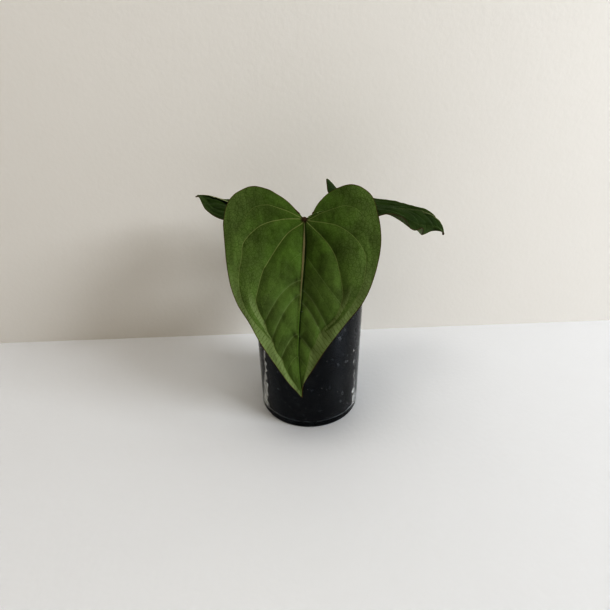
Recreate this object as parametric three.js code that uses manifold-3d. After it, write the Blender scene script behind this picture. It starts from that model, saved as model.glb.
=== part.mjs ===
// Potted anthurium kunayalense: three heart-shaped leaves on slender stalks, growing from one short
// rootstock in dark soil, in a clear straight-sided glass jar.
// Millimetres, +Z up. The origin is the centre of the jar's flat base; the front leaf faces -Y.

import Module from 'manifold-3d';
import * as THREE from 'three';
import { mergeVertices } from 'three/addons/utils/BufferGeometryUtils.js';

// Jar and soil
const JAR_RADIUS = 40;
const JAR_HEIGHT = 95;
const GLASS_WALL = 3;
const GLASS_BASE = 5;
const JAR_EDGE = 3;
const ROUND_SEGMENTS = 48;
const SOIL_TOP = 88;
const SOIL_CROWN = 1.2;
const SOIL_LUMP = 0.7;

// Air left between neighbouring pieces
const CLEARANCE = 0.3;

// Rootstock: the short thick stem that the leaf stalks and the roots grow from
const STOCK_RADIUS = 5;
const STOCK_TAPER = 0.62;
const STOCK_BOTTOM = 60;
const STOCK_TOP = 98;
const STOCK_SEGMENTS = 16;
const STOCK_RINGS = 7;
const STOCK_RING_HEIGHT = 0.35;
const ROOT_RADIUS = 0.95;
const ROOT_END_RADIUS = 0.6;
const ROOT_SIDES = 6;
// Degrees that a root turns through on its way out, and the circle on which the long ones run
const ROOT_LEAD = 24;
const ROOT_CIRCLE = 36;

// Leaf stalks
const STALK_SIDES = 8;
const STALK_STEPS = 14;
const STALK_BASE_RADIUS = 2.1;
const STALK_RADIUS = 1.35;
const JOINT_RADIUS = 1.75;
const JOINT_LENGTH = 9;
// Height of a joint's end above the upper face of its blade
const JOINT_RISE = 0.3;

// Papery sheaths round the rootstock
const SHEATH_HEIGHT = 15;
const SHEATH_THICKNESS = 0.6;

// Blades. The flat form is drawn at FORM_LENGTH, and each leaf scales it to its own length.
const FORM_LENGTH = 113;
const BLADE_THICKNESS = 0.7;
const COLLAR = JOINT_RADIUS + CLEARANCE;
const MIDRIB_HEIGHT = 0.9;
const VEIN_HEIGHT = 0.4;
const PILLOW_HEIGHT = 1;
const RUFFLE_HEIGHT = 0.45;
// A blade's half width over its length, over which its curl is given
const HALF_SHARE = 0.43;
// How far out from the midrib its sideways bow fades
const BOW_REACH = 22;
// Reach at which a ray leaves the collar round the stalk
const COLLAR_REACH = 0.06;

const degrees = THREE.MathUtils.degToRad;
const { clamp, smoothstep } = THREE.MathUtils;

const glass = new THREE.MeshStandardMaterial({
  color: 0xdfe6e2, roughness: 0.04, metalness: 0, transparent: true, opacity: 0.3,
});
const darkSoil = new THREE.MeshStandardMaterial({ color: 0x18130f, roughness: 0.95, metalness: 0 });
const woodyStem = new THREE.MeshStandardMaterial({ color: 0x6f6244, roughness: 0.8, metalness: 0 });
const papery = new THREE.MeshStandardMaterial({ color: 0x86623c, roughness: 0.85, metalness: 0 });
const stalkGreen = new THREE.MeshStandardMaterial({ color: 0x5d6a35, roughness: 0.55, metalness: 0 });
const youngLeaf = new THREE.MeshStandardMaterial({ color: 0x3b511c, roughness: 0.55, metalness: 0 });
const oldLeaf = new THREE.MeshStandardMaterial({ color: 0x213514, roughness: 0.45, metalness: 0 });

const library = await Module();
library.setup();

/** Position-only copy of a geometry with shared corners, free of triangles without area. */
function welded(geometry) {
  const bare = geometry.clone();
  for (const name of Object.keys(bare.attributes)) {
    if (name !== 'position') bare.deleteAttribute(name);
  }
  const merged = mergeVertices(bare, 1e-4);
  const corners = merged.index.array;
  const kept = [];
  for (let i = 0; i < corners.length; i += 3) {
    const [a, b, c] = [corners[i], corners[i + 1], corners[i + 2]];
    if (a !== b && b !== c && c !== a) kept.push(a, b, c);
  }
  merged.setIndex(kept);
  merged.computeVertexNormals();
  return merged;
}

/** Closed geometry as a solid that can be joined and cut. */
function solidOf(geometry) {
  const closed = welded(geometry);
  return new library.Manifold(new library.Mesh({
    numProp: 3,
    vertProperties: new Float32Array(closed.attributes.position.array),
    triVerts: new Uint32Array(closed.index.array),
  }));
}

/** Solid back to a geometry. */
function geometryOf(solid) {
  const mesh = solid.getMesh();
  const geometry = new THREE.BufferGeometry();
  geometry.setAttribute('position', new THREE.BufferAttribute(new Float32Array(mesh.vertProperties), 3));
  geometry.setIndex(new THREE.BufferAttribute(new Uint32Array(mesh.triVerts), 1));
  geometry.computeVertexNormals();
  return geometry;
}

function named(name, geometry, material) {
  const mesh = new THREE.Mesh(geometry, material);
  mesh.name = name;
  return mesh;
}

/** Profile of [radius, height] pairs turned about the Z axis. */
function turned(profile, segments) {
  const points = profile.map(([radius, height]) => new THREE.Vector2(radius, height));
  return welded(new THREE.LatheGeometry(points, segments).rotateX(Math.PI / 2));
}

/** Points of a quarter round about (radius, height), from one angle to another. */
function quarterRound(radius, height, size, from, to, steps) {
  return Array.from({ length: steps + 1 }, (_, i) => {
    const angle = degrees(from + ((to - from) * i) / steps);
    return [radius + size * Math.cos(angle), height + size * Math.sin(angle)];
  });
}

/** Round tube with closed ends along a path; radiusAt gives its radius from 0 to 1 along it. */
function stalkTube(path, radiusAt, sides, steps) {
  const corners = Array.from({ length: sides }, (_, i) => {
    const angle = (i / sides) * 2 * Math.PI;
    return new THREE.Vector2(Math.cos(angle), Math.sin(angle));
  });
  const tube = welded(new THREE.ExtrudeGeometry(new THREE.Shape(corners), {
    steps, extrudePath: path, bevelEnabled: false,
  }));
  const centres = path.getSpacedPoints(steps);
  const position = tube.attributes.position;
  const corner = new THREE.Vector3();
  for (let i = 0; i < position.count; i += 1) {
    corner.fromBufferAttribute(position, i);
    let nearest = 0;
    centres.forEach((centre, k) => {
      if (centre.distanceTo(corner) < centres[nearest].distanceTo(corner)) nearest = k;
    });
    corner.sub(centres[nearest]).multiplyScalar(radiusAt(nearest / steps)).add(centres[nearest]);
    position.setXYZ(i, corner.x, corner.y, corner.z);
  }
  tube.computeVertexNormals();
  return tube;
}

/** Thin closed shell from two equal grids of points, upper[i][j] over lower[i][j]. */
function shell(upper, lower) {
  const rows = upper.length;
  const columns = upper[0].length;
  const points = [...upper.flat(), ...lower.flat()];
  const top = (i, j) => i * columns + j;
  const under = (i, j) => rows * columns + i * columns + j;
  const corners = [];
  for (let i = 0; i < rows - 1; i += 1) {
    for (let j = 0; j < columns - 1; j += 1) {
      corners.push(top(i, j), top(i + 1, j), top(i + 1, j + 1));
      corners.push(top(i, j), top(i + 1, j + 1), top(i, j + 1));
      corners.push(under(i, j), under(i + 1, j + 1), under(i + 1, j));
      corners.push(under(i, j), under(i, j + 1), under(i + 1, j + 1));
    }
  }
  const wall = (a, b) => {
    corners.push(top(...a), under(...a), under(...b));
    corners.push(top(...a), under(...b), top(...b));
  };
  for (let i = 0; i < rows - 1; i += 1) {
    wall([i, 0], [i + 1, 0]);
    wall([i + 1, columns - 1], [i, columns - 1]);
  }
  for (let j = 0; j < columns - 1; j += 1) {
    wall([0, j + 1], [0, j]);
    wall([rows - 1, j], [rows - 1, j + 1]);
  }
  const geometry = new THREE.BufferGeometry().setFromPoints(points);
  geometry.setIndex(corners);
  return welded(geometry);
}

/** Straight-sided glass jar with a thick base, a rounded bottom edge and a fire-polished rim. */
function glassJar() {
  const inner = JAR_RADIUS - GLASS_WALL;
  const rim = GLASS_WALL / 2;
  return turned([
    [0, 0],
    ...quarterRound(JAR_RADIUS - JAR_EDGE, JAR_EDGE, JAR_EDGE, -90, 0, 3),
    ...quarterRound(JAR_RADIUS - rim, JAR_HEIGHT - rim, rim, 0, 180, 4),
    ...quarterRound(inner - JAR_EDGE, GLASS_BASE + JAR_EDGE, JAR_EDGE, 0, -90, 3),
    [0, GLASS_BASE],
  ], ROUND_SEGMENTS);
}

/** Height of the soil's uneven surface above its level edge. */
function soilHeight(x, y) {
  const radius = Math.hypot(x, y) / JAR_RADIUS;
  const lumps = Math.sin(x * 0.31 + 1) * Math.cos(y * 0.27) + 0.6 * Math.sin(x * 0.52 - y * 0.61);
  return SOIL_CROWN * (1 - radius * radius) + SOIL_LUMP * lumps * (1 - radius ** 6);
}

/** Soil filling the jar, before the rootstock's hole and the roots' channels are cut. */
function soilFill() {
  const outer = JAR_RADIUS - GLASS_WALL - CLEARANCE;
  const floor = GLASS_BASE + CLEARANCE;
  const fill = turned([
    [0, floor],
    ...quarterRound(outer - JAR_EDGE, floor + JAR_EDGE, JAR_EDGE, -90, 0, 3),
    [outer, SOIL_TOP - 1],
    ...[0.97, 0.83, 0.66, 0.48, 0.3].map((share) => [outer * share, SOIL_TOP]),
    [0, SOIL_TOP],
  ], ROUND_SEGMENTS);
  const position = fill.attributes.position;
  for (let i = 0; i < position.count; i += 1) {
    if (position.getZ(i) > SOIL_TOP - 0.5) {
      position.setZ(i, SOIL_TOP + soilHeight(position.getX(i), position.getY(i)));
    }
  }
  return fill;
}

/** Rootstock, ringed by the scars of old leaves and thinner towards its foot. */
function stockBody() {
  const levels = STOCK_RINGS * 2;
  const shoulder = STOCK_TOP - STOCK_BOTTOM - 1.5;
  const side = Array.from({ length: levels + 1 }, (_, i) => {
    const share = i / levels;
    const swell = STOCK_RADIUS * (STOCK_TAPER + (1 - STOCK_TAPER) * smoothstep(share, 0, 0.6));
    const ring = i % 2 ? STOCK_RING_HEIGHT : 0;
    return [swell + ring, STOCK_BOTTOM + share * shoulder];
  });
  return turned([
    [0, STOCK_BOTTOM - 2],
    ...side,
    [STOCK_RADIUS * STOCK_TAPER, STOCK_TOP],
    [0, STOCK_TOP],
  ], STOCK_SEGMENTS);
}

/** Plain hole in the soil for the rootstock, open at the top. */
function stockHole() {
  const radius = STOCK_RADIUS + STOCK_RING_HEIGHT + CLEARANCE;
  return turned([
    [0, STOCK_BOTTOM - 2 - CLEARANCE],
    [radius, STOCK_BOTTOM - 2 - CLEARANCE],
    [radius, STOCK_TOP],
    [0, STOCK_TOP],
  ], STOCK_SEGMENTS);
}

// Roots. Each leaves the rootstock at a height and a compass angle, sinks to a depth at its reach from
// the axis, and then runs on through a number of degrees while it drops. The long ones follow the glass.
const ROOTS = [
  { height: 66, bearing: -150, depth: 30, reach: ROOT_CIRCLE, run: 95, drop: 14, steps: 18 },
  { height: 69, bearing: -35, depth: 24, reach: ROOT_CIRCLE, run: -70, drop: 9, steps: 16 },
  { height: 64, bearing: 70, depth: 26, reach: ROOT_CIRCLE, run: 80, drop: 10, steps: 16 },
  { height: 71, bearing: 160, depth: 40, reach: 27, run: 10, drop: 12, steps: 10 },
  { height: 62, bearing: 20, depth: 18, reach: 18, run: 12, drop: 6, steps: 9 },
];

/** One root, widened by a margin where it stands for its channel in the soil. */
function root({ height, bearing, depth, reach, run, drop, steps }, margin) {
  const way = Math.sign(run);
  const at = (radius, angle, z) => {
    const turn = degrees(angle);
    return new THREE.Vector3(radius * Math.cos(turn), radius * Math.sin(turn), z);
  };
  const along = [0, 0.2, 0.4, 0.6, 0.8, 1].map(
    (share) => at(reach, bearing + way * ROOT_LEAD + run * share, depth - drop * share),
  );
  const path = new THREE.CatmullRomCurve3([
    at(1.5, bearing, height),
    at(8, bearing, height - 3),
    at(reach * 0.6, bearing + way * 4, (height + depth) / 2 + 4),
    at(reach * 0.92, bearing + way * 10, depth + 6),
    ...along,
  ]);
  const thinning = (ROOT_RADIUS - ROOT_END_RADIUS) / 0.6;
  const radiusAt = (share) => Math.max(ROOT_RADIUS - thinning * share, ROOT_END_RADIUS) + margin;
  return stalkTube(path, radiusAt, ROOT_SIDES, steps);
}

/** A first geometry and the roots, in one solid. */
function withRoots(first, margin) {
  return ROOTS.reduce((solid, spec) => solid.add(solidOf(root(spec, margin))), solidOf(first));
}

// Flat form of the blade. Distances run along the midrib from the stalk, negative on the lobes, and
// out from the midrib. Each half has its outline from the notch round to the tip, and three veins that
// fan out from the stalk, each with the outline point that it runs to.
const LEFT_HALF = {
  outline: [
    [-2.2, 4.5], [-10, 9], [-17.8, 18], [-20.2, 30.5], [-13, 41.5], [2, 45.8], [18, 46.8], [35.5, 43.5],
    [51, 37.2], [65.5, 27], [80, 17.4], [93.5, 9.4], [102.5, 3.4], [107, 1.1], [113, 0],
  ],
  veins: [
    { end: 11, through: [[9, 10], [24.5, 20.5], [46, 25], [69, 17.2]] },
    { end: 9, through: [[1, 11], [8, 26.5], [24, 37.2], [47, 33]] },
    { end: 3, through: [[-2.5, 6.5], [-5.5, 15], [-7, 23], [-12.5, 28.5]] },
  ],
};
const RIGHT_HALF = {
  outline: [
    [-3.4, 3.4], [-11.6, 11.4], [-18.2, 23.5], [-19.8, 35.5], [-13, 46.8], [1, 50.8], [17.5, 49.8],
    [35.5, 47], [52, 42], [65.5, 33], [79.5, 24.2], [93.5, 14], [103, 7.2], [109, 2.8], [113, 0],
  ],
  veins: [
    { end: 11, through: [[8, 9.5], [26, 22], [48, 28.8], [71, 21.8]] },
    { end: 9, through: [[0, 13], [8, 31.5], [23.5, 39.2], [45, 39.8]] },
    { end: 3, through: [[-2, 5.5], [-5.5, 13], [-9, 22], [-13.5, 29.5]] },
  ],
};
const MIDRIB_RUN = [26, 50, 81, 101];

// Rays between one vein and the next, from the midrib out to the notch, and rings across them
const RAYS = { fine: [5, 4, 11, 5], plain: [4, 3, 9, 4] };
const RINGS = { fine: 13, plain: 11 };

// How each leaf hangs, in degrees. Heading is the compass angle of the midrib at the stalk, pitch its
// fall and roll its lean. A list gives values at the stalk, halfway and at the tip: droop is the further
// fall and sway the sideways turn of the midrib, fold the lift of each half from the midrib and curl its
// further bend out to the margin. lift raises the lobes and twist turns the blade about its midrib. bow
// shifts the midrib sideways within the blade, in millimetres. A pleat lets the margin fall beyond one
// place on the outline, after a dip before it.
const FRONT_LEAF = {
  attach: [-2.3, -19.9, 148], length: 111, heading: -94.7, pitch: 64.1, roll: 0,
  droop: [0, 4, 8], sway: [0, 0, 0], lift: 1.2, twist: 0, bow: -3.2,
  left: { fold: [9, 9, 9], curl: [-12, -12, -12] },
  right: { fold: [9, 9, 9], curl: [-12, -12, -12] },
};
const RIGHT_LEAF = {
  attach: [33.5, 29.7, 148.6], length: 87.7, heading: 13.3, pitch: 1.5, roll: 8.1,
  droop: [0, 1.9, 72], sway: [0, -18.1, 12.4], lift: 1.6, twist: 35, bow: 0,
  left: { fold: [24.7, -29.7, 2.8], curl: [-24.2, 19.5, -38.1] },
  right: {
    fold: [19.5, 12.9, -64.8],
    curl: [-33.1, -11.7, -27.6],
    pleat: { at: 9.3, end: 13.2, fall: 5.9, dip: 3.7 },
  },
};
const LEFT_LEAF = {
  attach: [-29.7, 22.5, 153.1], length: 74, heading: 162.2, pitch: 9.4, roll: 18.9,
  droop: [0, -24, -0.5], sway: [0, -4.2, -26], lift: 0, twist: 10.3, bow: 0,
  left: { fold: [-27.1, -33, -8.8], curl: [-10.6, -4.7, -44] },
  right: { fold: [9.8, 8.8, -6.9], curl: [-12.5, 19.1, -4.1] },
};

/** Smooth run through flat points, read from 0 to 1. */
function smoothRun(points) {
  const corners = points.map(([along, out]) => new THREE.Vector3(along, out, 0));
  const curve = new THREE.CatmullRomCurve3(corners, false, 'catmullrom', 0.5);
  return (at) => curve.getPoint(clamp(at, 0, 1));
}

/** Value at u from 0 to 1 of the parabola through values at 0, a half and 1. */
function between([base, middle, tip], u) {
  return base + (4 * middle - 3 * base - tip) * u + 2 * (base + tip - 2 * middle) * u * u;
}

/**
 * One half of the flat blade as a fan: rib 0 is the midrib, 1 to 3 the veins and 4 the notch's edge,
 * and reach runs from the stalk to the margin. Gives the flat point and the place on the outline.
 */
function fan(half) {
  const { outline, veins } = half;
  const last = outline.length - 1;
  const edge = smoothRun(outline);
  const ends = [last, ...veins.map((vein) => vein.end), 0];
  const runs = [
    smoothRun([[0, 0], ...MIDRIB_RUN.map((along) => [along, 0]), outline[last]]),
    ...veins.map((vein) => smoothRun([[0, 0], ...vein.through, outline[vein.end]])),
    smoothRun([[0, 0], outline[0]]),
  ];
  return (rib, reach) => {
    const k = Math.min(Math.floor(rib), 3);
    const share = rib - k;
    const place = ends[k] + (ends[k + 1] - ends[k]) * share;
    const point = runs[k](reach).lerp(runs[k + 1](reach), share);
    const straight = runs[k](1).lerp(runs[k + 1](1), share);
    point.addScaledVector(edge(place / last).sub(straight), reach * reach);
    return { along: point.x, out: point.y, place };
  };
}

/** Axes at a distance along the bent midrib: its place, its heading, its left side and its upper side. */
function midribFrame(leaf) {
  const heading = new THREE.Vector3(1, 0, 0);
  const up = new THREE.Vector3(0, 0, 1);
  const turn = new THREE.Euler(0, degrees(leaf.pitch), degrees(leaf.heading), 'ZYX');
  heading.applyEuler(turn);
  up.applyEuler(turn);
  const left = new THREE.Vector3().crossVectors(up, heading);
  const roll = new THREE.Quaternion().setFromAxisAngle(heading, degrees(leaf.roll));
  left.applyQuaternion(roll);
  up.applyQuaternion(roll);
  const step = leaf.length / 200;
  const angles = (along) => {
    const ahead = Math.max(along, 0) / leaf.length;
    const behind = Math.max(-along, 0) / leaf.length;
    return [
      degrees(between(leaf.droop, ahead) - leaf.lift * 5 * behind),
      degrees(between(leaf.sway, ahead)),
    ];
  };
  const headingAt = (along) => {
    const [fall, sway] = angles(along);
    return new THREE.Vector3()
      .addScaledVector(heading, Math.cos(fall) * Math.cos(sway))
      .addScaledVector(left, Math.cos(fall) * Math.sin(sway))
      .addScaledVector(up, -Math.sin(fall));
  };
  return (along) => {
    const centre = new THREE.Vector3(...leaf.attach);
    const steps = Math.max(1, Math.round(Math.abs(along) / step));
    for (let i = 0; i < steps; i += 1) {
      centre.addScaledVector(headingAt((along * (i + 0.5)) / steps), along / steps);
    }
    const [fall, sway] = angles(along);
    const level = heading.clone().multiplyScalar(Math.cos(sway)).addScaledVector(left, Math.sin(sway));
    const side = left.clone().multiplyScalar(Math.cos(sway)).addScaledVector(heading, -Math.sin(sway));
    const above = up.clone().multiplyScalar(Math.cos(fall)).addScaledVector(level, Math.sin(fall));
    const twist = degrees(leaf.twist * clamp(along / leaf.length, 0, 1));
    return {
      centre,
      side: side.clone().multiplyScalar(Math.cos(twist)).addScaledVector(above, Math.sin(twist)),
      above: above.clone().multiplyScalar(Math.cos(twist)).addScaledVector(side, -Math.sin(twist)),
    };
  };
}

/** Lift of the upper face: pillows between the veins, a ruffled margin and a leaf's own pleat. */
function relief({ pleat }, hand, rib, reach, place) {
  const pillow = PILLOW_HEIGHT * Math.abs(Math.sin(Math.PI * rib)) * Math.sin(Math.PI * reach ** 0.8);
  const wave = Math.sin(place * 2.6 + 1 - hand);
  const ruffle = RUFFLE_HEIGHT * reach ** 4 * wave * smoothstep(rib, 0, 0.6);
  if (!pleat) return pillow + ruffle;
  const beyond = smoothstep(place, pleat.at, pleat.at + 0.35);
  const fall = pleat.fall * beyond * clamp((pleat.end - place) / (pleat.end - pleat.at), 0, 1);
  const dip = pleat.dip * Math.exp(-(((place - pleat.at + 1) / 0.9) ** 2)) * (1 - beyond);
  return pillow + ruffle - (fall + dip) * reach ** 2.5;
}

/** Rib under a vein, strongest at the stalk. */
function ribHeight(rib, reach) {
  const nearest = Math.round(rib);
  const onVein = 1 - Math.min(1, Math.abs(rib - nearest) * 8);
  const height = nearest === 0 ? MIDRIB_HEIGHT : VEIN_HEIGHT;
  return nearest === 4 ? 0 : height * onVein * (1 - reach);
}

/** Point of the bent blade and its normal, s along and t out from the midrib of one half. */
function bentBlade(leaf, form, hand, frameAt, s, t) {
  const u = clamp(s / leaf.length, -0.2, 1);
  const fold = degrees(between(leaf[form].fold, u));
  const curl = degrees(between(leaf[form].curl, u)) / (HALF_SHARE * leaf.length);
  const bend = Math.abs(curl) < 1e-7 ? 1e-7 : curl;
  const slope = fold + bend * t;
  const across = (Math.sin(slope) - Math.sin(fold)) / bend;
  const rise = (Math.cos(fold) - Math.cos(slope)) / bend;
  const bow = leaf.bow * Math.sin(Math.PI * Math.max(u, 0) ** 1.8) * Math.exp(-((t / BOW_REACH) ** 2));
  const { centre, side, above } = frameAt(s);
  return {
    point: centre.clone().addScaledVector(side, hand * across + bow).addScaledVector(above, rise),
    normal: above.clone().multiplyScalar(Math.cos(slope)).addScaledVector(side, -hand * Math.sin(slope)),
  };
}

/** One ray of a blade, from the collar round the stalk to the margin: its upper and lower points. */
function bladeRay(leaf, form, hand, frameAt, flat, rib, rings) {
  const scale = leaf.length / FORM_LENGTH;
  const first = flat(rib, COLLAR_REACH);
  const toCollar = COLLAR / Math.hypot(first.along, first.out);
  const start = bentBlade(leaf, form, hand, frameAt, first.along * toCollar, first.out * toCollar);
  const upper = [start.point];
  const lower = [start.point.clone().addScaledVector(start.normal, -BLADE_THICKNESS)];
  for (let j = 1; j <= rings; j += 1) {
    const reach = (j / rings) ** 1.1;
    const { along, out, place } = flat(rib, reach);
    const { point, normal } = bentBlade(leaf, form, hand, frameAt, along * scale, out * scale);
    const top = relief(leaf[form], hand, rib, reach, place) * scale;
    upper.push(point.clone().addScaledVector(normal, top));
    lower.push(point.clone().addScaledVector(normal, top - BLADE_THICKNESS - ribHeight(rib, reach)));
  }
  return { upper, lower };
}

/** Blade of one leaf as a thin closed shell. */
function blade(leaf, detail) {
  const frameAt = midribFrame(leaf);
  const flats = { left: fan(LEFT_HALF), right: fan(RIGHT_HALF) };
  const ribs = [0];
  RAYS[detail].forEach((count, sector) => {
    for (let i = 1; i <= count; i += 1) ribs.push(sector + i / count);
  });
  const ray = (form, hand) => (rib) => (
    bladeRay(leaf, form, hand, frameAt, flats[form], rib, RINGS[detail])
  );
  const rays = [...[...ribs].reverse().map(ray('left', 1)), ...ribs.slice(1).map(ray('right', -1))];
  return shell(rays.map(({ upper }) => upper), rays.map(({ lower }) => lower));
}

// Stalks: the foot in the rootstock and the points that each passes on the way up, before the thicker
// joint that carries its blade
const STALKS = {
  front: { leaf: FRONT_LEAF, foot: [0.4, -3, 92.5], via: [[0.5, -4.5, 104], [-0.8, -5.2, 126]] },
  left: { leaf: LEFT_LEAF, foot: [-3, 1.8, 92], via: [[-7.5, 5, 106], [-18, 13.5, 132]] },
  right: { leaf: RIGHT_LEAF, foot: [2.8, 2.4, 91.5], via: [[8, 7.5, 105], [21, 18.5, 130]] },
};

/** Stalk from the rootstock to the notch of its blade, widened by a margin where it stands for a hole. */
function stalk({ leaf, foot, via }, margin) {
  const frame = midribFrame(leaf)(0);
  const top = frame.centre.clone().addScaledVector(frame.above, JOINT_RISE);
  const neck = frame.centre.clone().addScaledVector(frame.above, -JOINT_LENGTH * 0.75);
  const path = new THREE.CatmullRomCurve3([
    new THREE.Vector3(...foot),
    ...via.map((point) => new THREE.Vector3(...point)),
    neck,
    top,
  ]);
  const length = path.getLength();
  const radiusAt = (share) => {
    const flare = (STALK_BASE_RADIUS - STALK_RADIUS) * (1 - smoothstep(share, 0.05, 0.3));
    const swelling = smoothstep(share * length, length - JOINT_LENGTH, length - 2);
    return STALK_RADIUS + flare + (JOINT_RADIUS - STALK_RADIUS) * swelling + margin;
  };
  return stalkTube(path, radiusAt, STALK_SIDES, STALK_STEPS);
}

// Sheaths: compass angle of the middle, angle wrapped at the foot, height of the foot, and lean of the
// point away from the stem
const SHEATHS = {
  right: { bearing: -24, span: 80, foot: 91, lean: 5.5 },
  back: { bearing: 95, span: 50, foot: 92, lean: 4 },
  left: { bearing: 209, span: 72, foot: 91.3, lean: 6.5 },
};
const SHEATH_GRID = { across: 6, up: 5 };

/** Dry pointed sheath wrapped part of the way round the rootstock. */
function sheath({ bearing, span, foot, lean }) {
  const inside = STOCK_RADIUS + STOCK_RING_HEIGHT + CLEARANCE * 1.5;
  const face = (offset) => Array.from({ length: SHEATH_GRID.across + 1 }, (_, i) => {
    const across = i / SHEATH_GRID.across - 0.5;
    return Array.from({ length: SHEATH_GRID.up + 1 }, (__, j) => {
      const up = j / SHEATH_GRID.up;
      const turn = degrees(bearing + across * span * (1 - 0.93 * up ** 2.2));
      const radius = inside + lean * up * up + offset;
      return new THREE.Vector3(radius * Math.cos(turn), radius * Math.sin(turn), foot + SHEATH_HEIGHT * up);
    });
  });
  return shell(face(SHEATH_THICKNESS), face(0));
}

const stockWithSockets = Object.values(STALKS).reduce(
  (solid, spec) => solid.subtract(solidOf(stalk(spec, CLEARANCE))),
  withRoots(stockBody(), 0),
);
const soilWithHole = solidOf(soilFill()).subtract(withRoots(stockHole(), CLEARANCE));

const pot = new THREE.Group();
pot.add(named('glass_jar', glassJar(), glass));
pot.add(named('soil', geometryOf(soilWithHole), darkSoil));

const plant = new THREE.Group();
plant.add(named('rootstock', geometryOf(stockWithSockets), woodyStem));
for (const [side, spec] of Object.entries(SHEATHS)) {
  plant.add(named(`sheath_${side}`, sheath(spec), papery));
}
for (const [side, spec] of Object.entries(STALKS)) {
  plant.add(named(`stalk_${side}`, stalk(spec, 0), stalkGreen));
}
plant.add(named('leaf_front', blade(FRONT_LEAF, 'fine'), youngLeaf));
plant.add(named('leaf_left', blade(LEFT_LEAF, 'plain'), oldLeaf));
plant.add(named('leaf_right', blade(RIGHT_LEAF, 'plain'), oldLeaf));

const group = new THREE.Group();
group.add(pot, plant);

export default group;
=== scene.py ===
# Potted anthurium kunayalense: three heart-shaped leaves growing from a short rootstock in a clear jar.
# Metres, +Z up. The origin is the centre of the jar's flat base and the front leaf faces -Y.

import math
import random

import bmesh
import bpy
import numpy as np
from mathutils import Matrix, Vector, noise


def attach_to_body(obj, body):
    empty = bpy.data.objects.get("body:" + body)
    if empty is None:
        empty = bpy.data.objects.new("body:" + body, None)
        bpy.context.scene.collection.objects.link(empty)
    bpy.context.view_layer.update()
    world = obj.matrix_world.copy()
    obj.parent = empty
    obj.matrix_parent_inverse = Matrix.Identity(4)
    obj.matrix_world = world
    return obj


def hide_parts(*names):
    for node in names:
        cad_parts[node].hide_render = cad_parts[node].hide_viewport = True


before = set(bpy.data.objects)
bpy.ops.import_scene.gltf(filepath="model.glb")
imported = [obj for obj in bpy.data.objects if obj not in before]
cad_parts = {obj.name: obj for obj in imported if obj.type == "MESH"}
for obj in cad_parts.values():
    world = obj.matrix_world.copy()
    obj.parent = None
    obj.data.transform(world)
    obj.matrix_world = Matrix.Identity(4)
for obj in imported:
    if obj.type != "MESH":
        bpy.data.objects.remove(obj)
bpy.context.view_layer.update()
MM = 0.001


# Jar
# A clear pressed glass with straight sides, a level base with a rounded edge and a fire-polished rim. It
# is made in one piece, so it has no seams, and a shallow hollow under its base keeps it from rocking.
JAR_RADIUS = 40 * MM
JAR_HEIGHT = 95 * MM
GLASS_WALL = 3 * MM
GLASS_BASE = 2.6 * MM
JAR_EDGE = 1.5 * MM
JAR_INNER_EDGE = 1 * MM
BASE_HOLLOW = 0.6 * MM
STANDING_RING = 8 * MM
HOLLOW_SLOPE = 3 * MM
RIM_ROUND = GLASS_WALL * 0.49
JAR_SIDES = 192


def new_piece(name):
    """The primitive that was just added, named, with its place moved into its mesh."""
    piece = bpy.context.object
    piece.name = name
    piece.data.name = name
    bpy.ops.object.transform_apply(location=True, rotation=True, scale=True)
    return piece


def edit(piece, kind):
    """Opens one piece in edit mode with nothing selected."""
    bpy.ops.object.select_all(action="DESELECT")
    bpy.context.view_layer.objects.active = piece
    piece.select_set(True)
    bpy.ops.object.mode_set(mode="EDIT")
    bpy.ops.mesh.select_mode(type=kind)
    bpy.ops.mesh.select_all(action="DESELECT")


def close(piece):
    """Leaves edit mode."""
    bpy.ops.object.mode_set(mode="OBJECT")
    return piece


def pick_faces(piece, test):
    """Selects the faces whose centre and normal pass a test."""
    mesh = bmesh.from_edit_mesh(piece.data)
    for face in mesh.faces:
        face.select_set(test(face.calc_center_median(), face.normal))
    bmesh.update_edit_mesh(piece.data)


def pick_edges(piece, test):
    """Selects the edges whose two ends pass a test."""
    mesh = bmesh.from_edit_mesh(piece.data)
    for edge in mesh.edges:
        edge.select_set(test(edge.verts[0].co, edge.verts[1].co))
    bmesh.update_edit_mesh(piece.data)


def loop_at(height, radius):
    """Test for the edges of a level circle."""
    def on_circle(end):
        return abs(end.z - height) < 0.001 * MM and abs(end.xy.length - radius) < 0.02 * MM

    return lambda a, b: on_circle(a) and on_circle(b)


def finish_modifier(piece, kind, **settings):
    """Adds one modifier, sets it and applies it."""
    bpy.context.view_layer.objects.active = piece
    made = piece.modifiers.new(kind.lower(), kind)
    for name, value in settings.items():
        setattr(made, name, value)
    bpy.ops.object.modifier_apply(modifier=made.name)


def node(tree, kind, inputs=None, **settings):
    """Adds a shader node with its settings and its input values or links."""
    made = tree.nodes.new(kind)
    for name, value in settings.items():
        setattr(made, name, value)
    for key, value in (inputs or {}).items():
        if isinstance(value, bpy.types.NodeSocket):
            tree.links.new(value, made.inputs[key])
        else:
            made.inputs[key].default_value = value
    return made


def maths(tree, operation, a, b=0.0, c=0.0):
    """One sum of up to three values."""
    return node(tree, "ShaderNodeMath", {0: a, 1: b, 2: c}, operation=operation).outputs[0]


def span(tree, value, low, high, to_low=0.0, to_high=1.0):
    """Value moved from one span to another, held inside it, with a smooth start and end."""
    numbers = {0: value, 1: low, 2: high, 3: to_low, 4: to_high}
    return node(tree, "ShaderNodeMapRange", numbers, interpolation_type="SMOOTHSTEP").outputs[0]


def blend(tree, share, a, b):
    """Colour that goes from a to b as the share goes from 0 to 1."""
    return node(tree, "ShaderNodeMix", {0: share, 6: a, 7: b}, data_type="RGBA").outputs[2]


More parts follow.
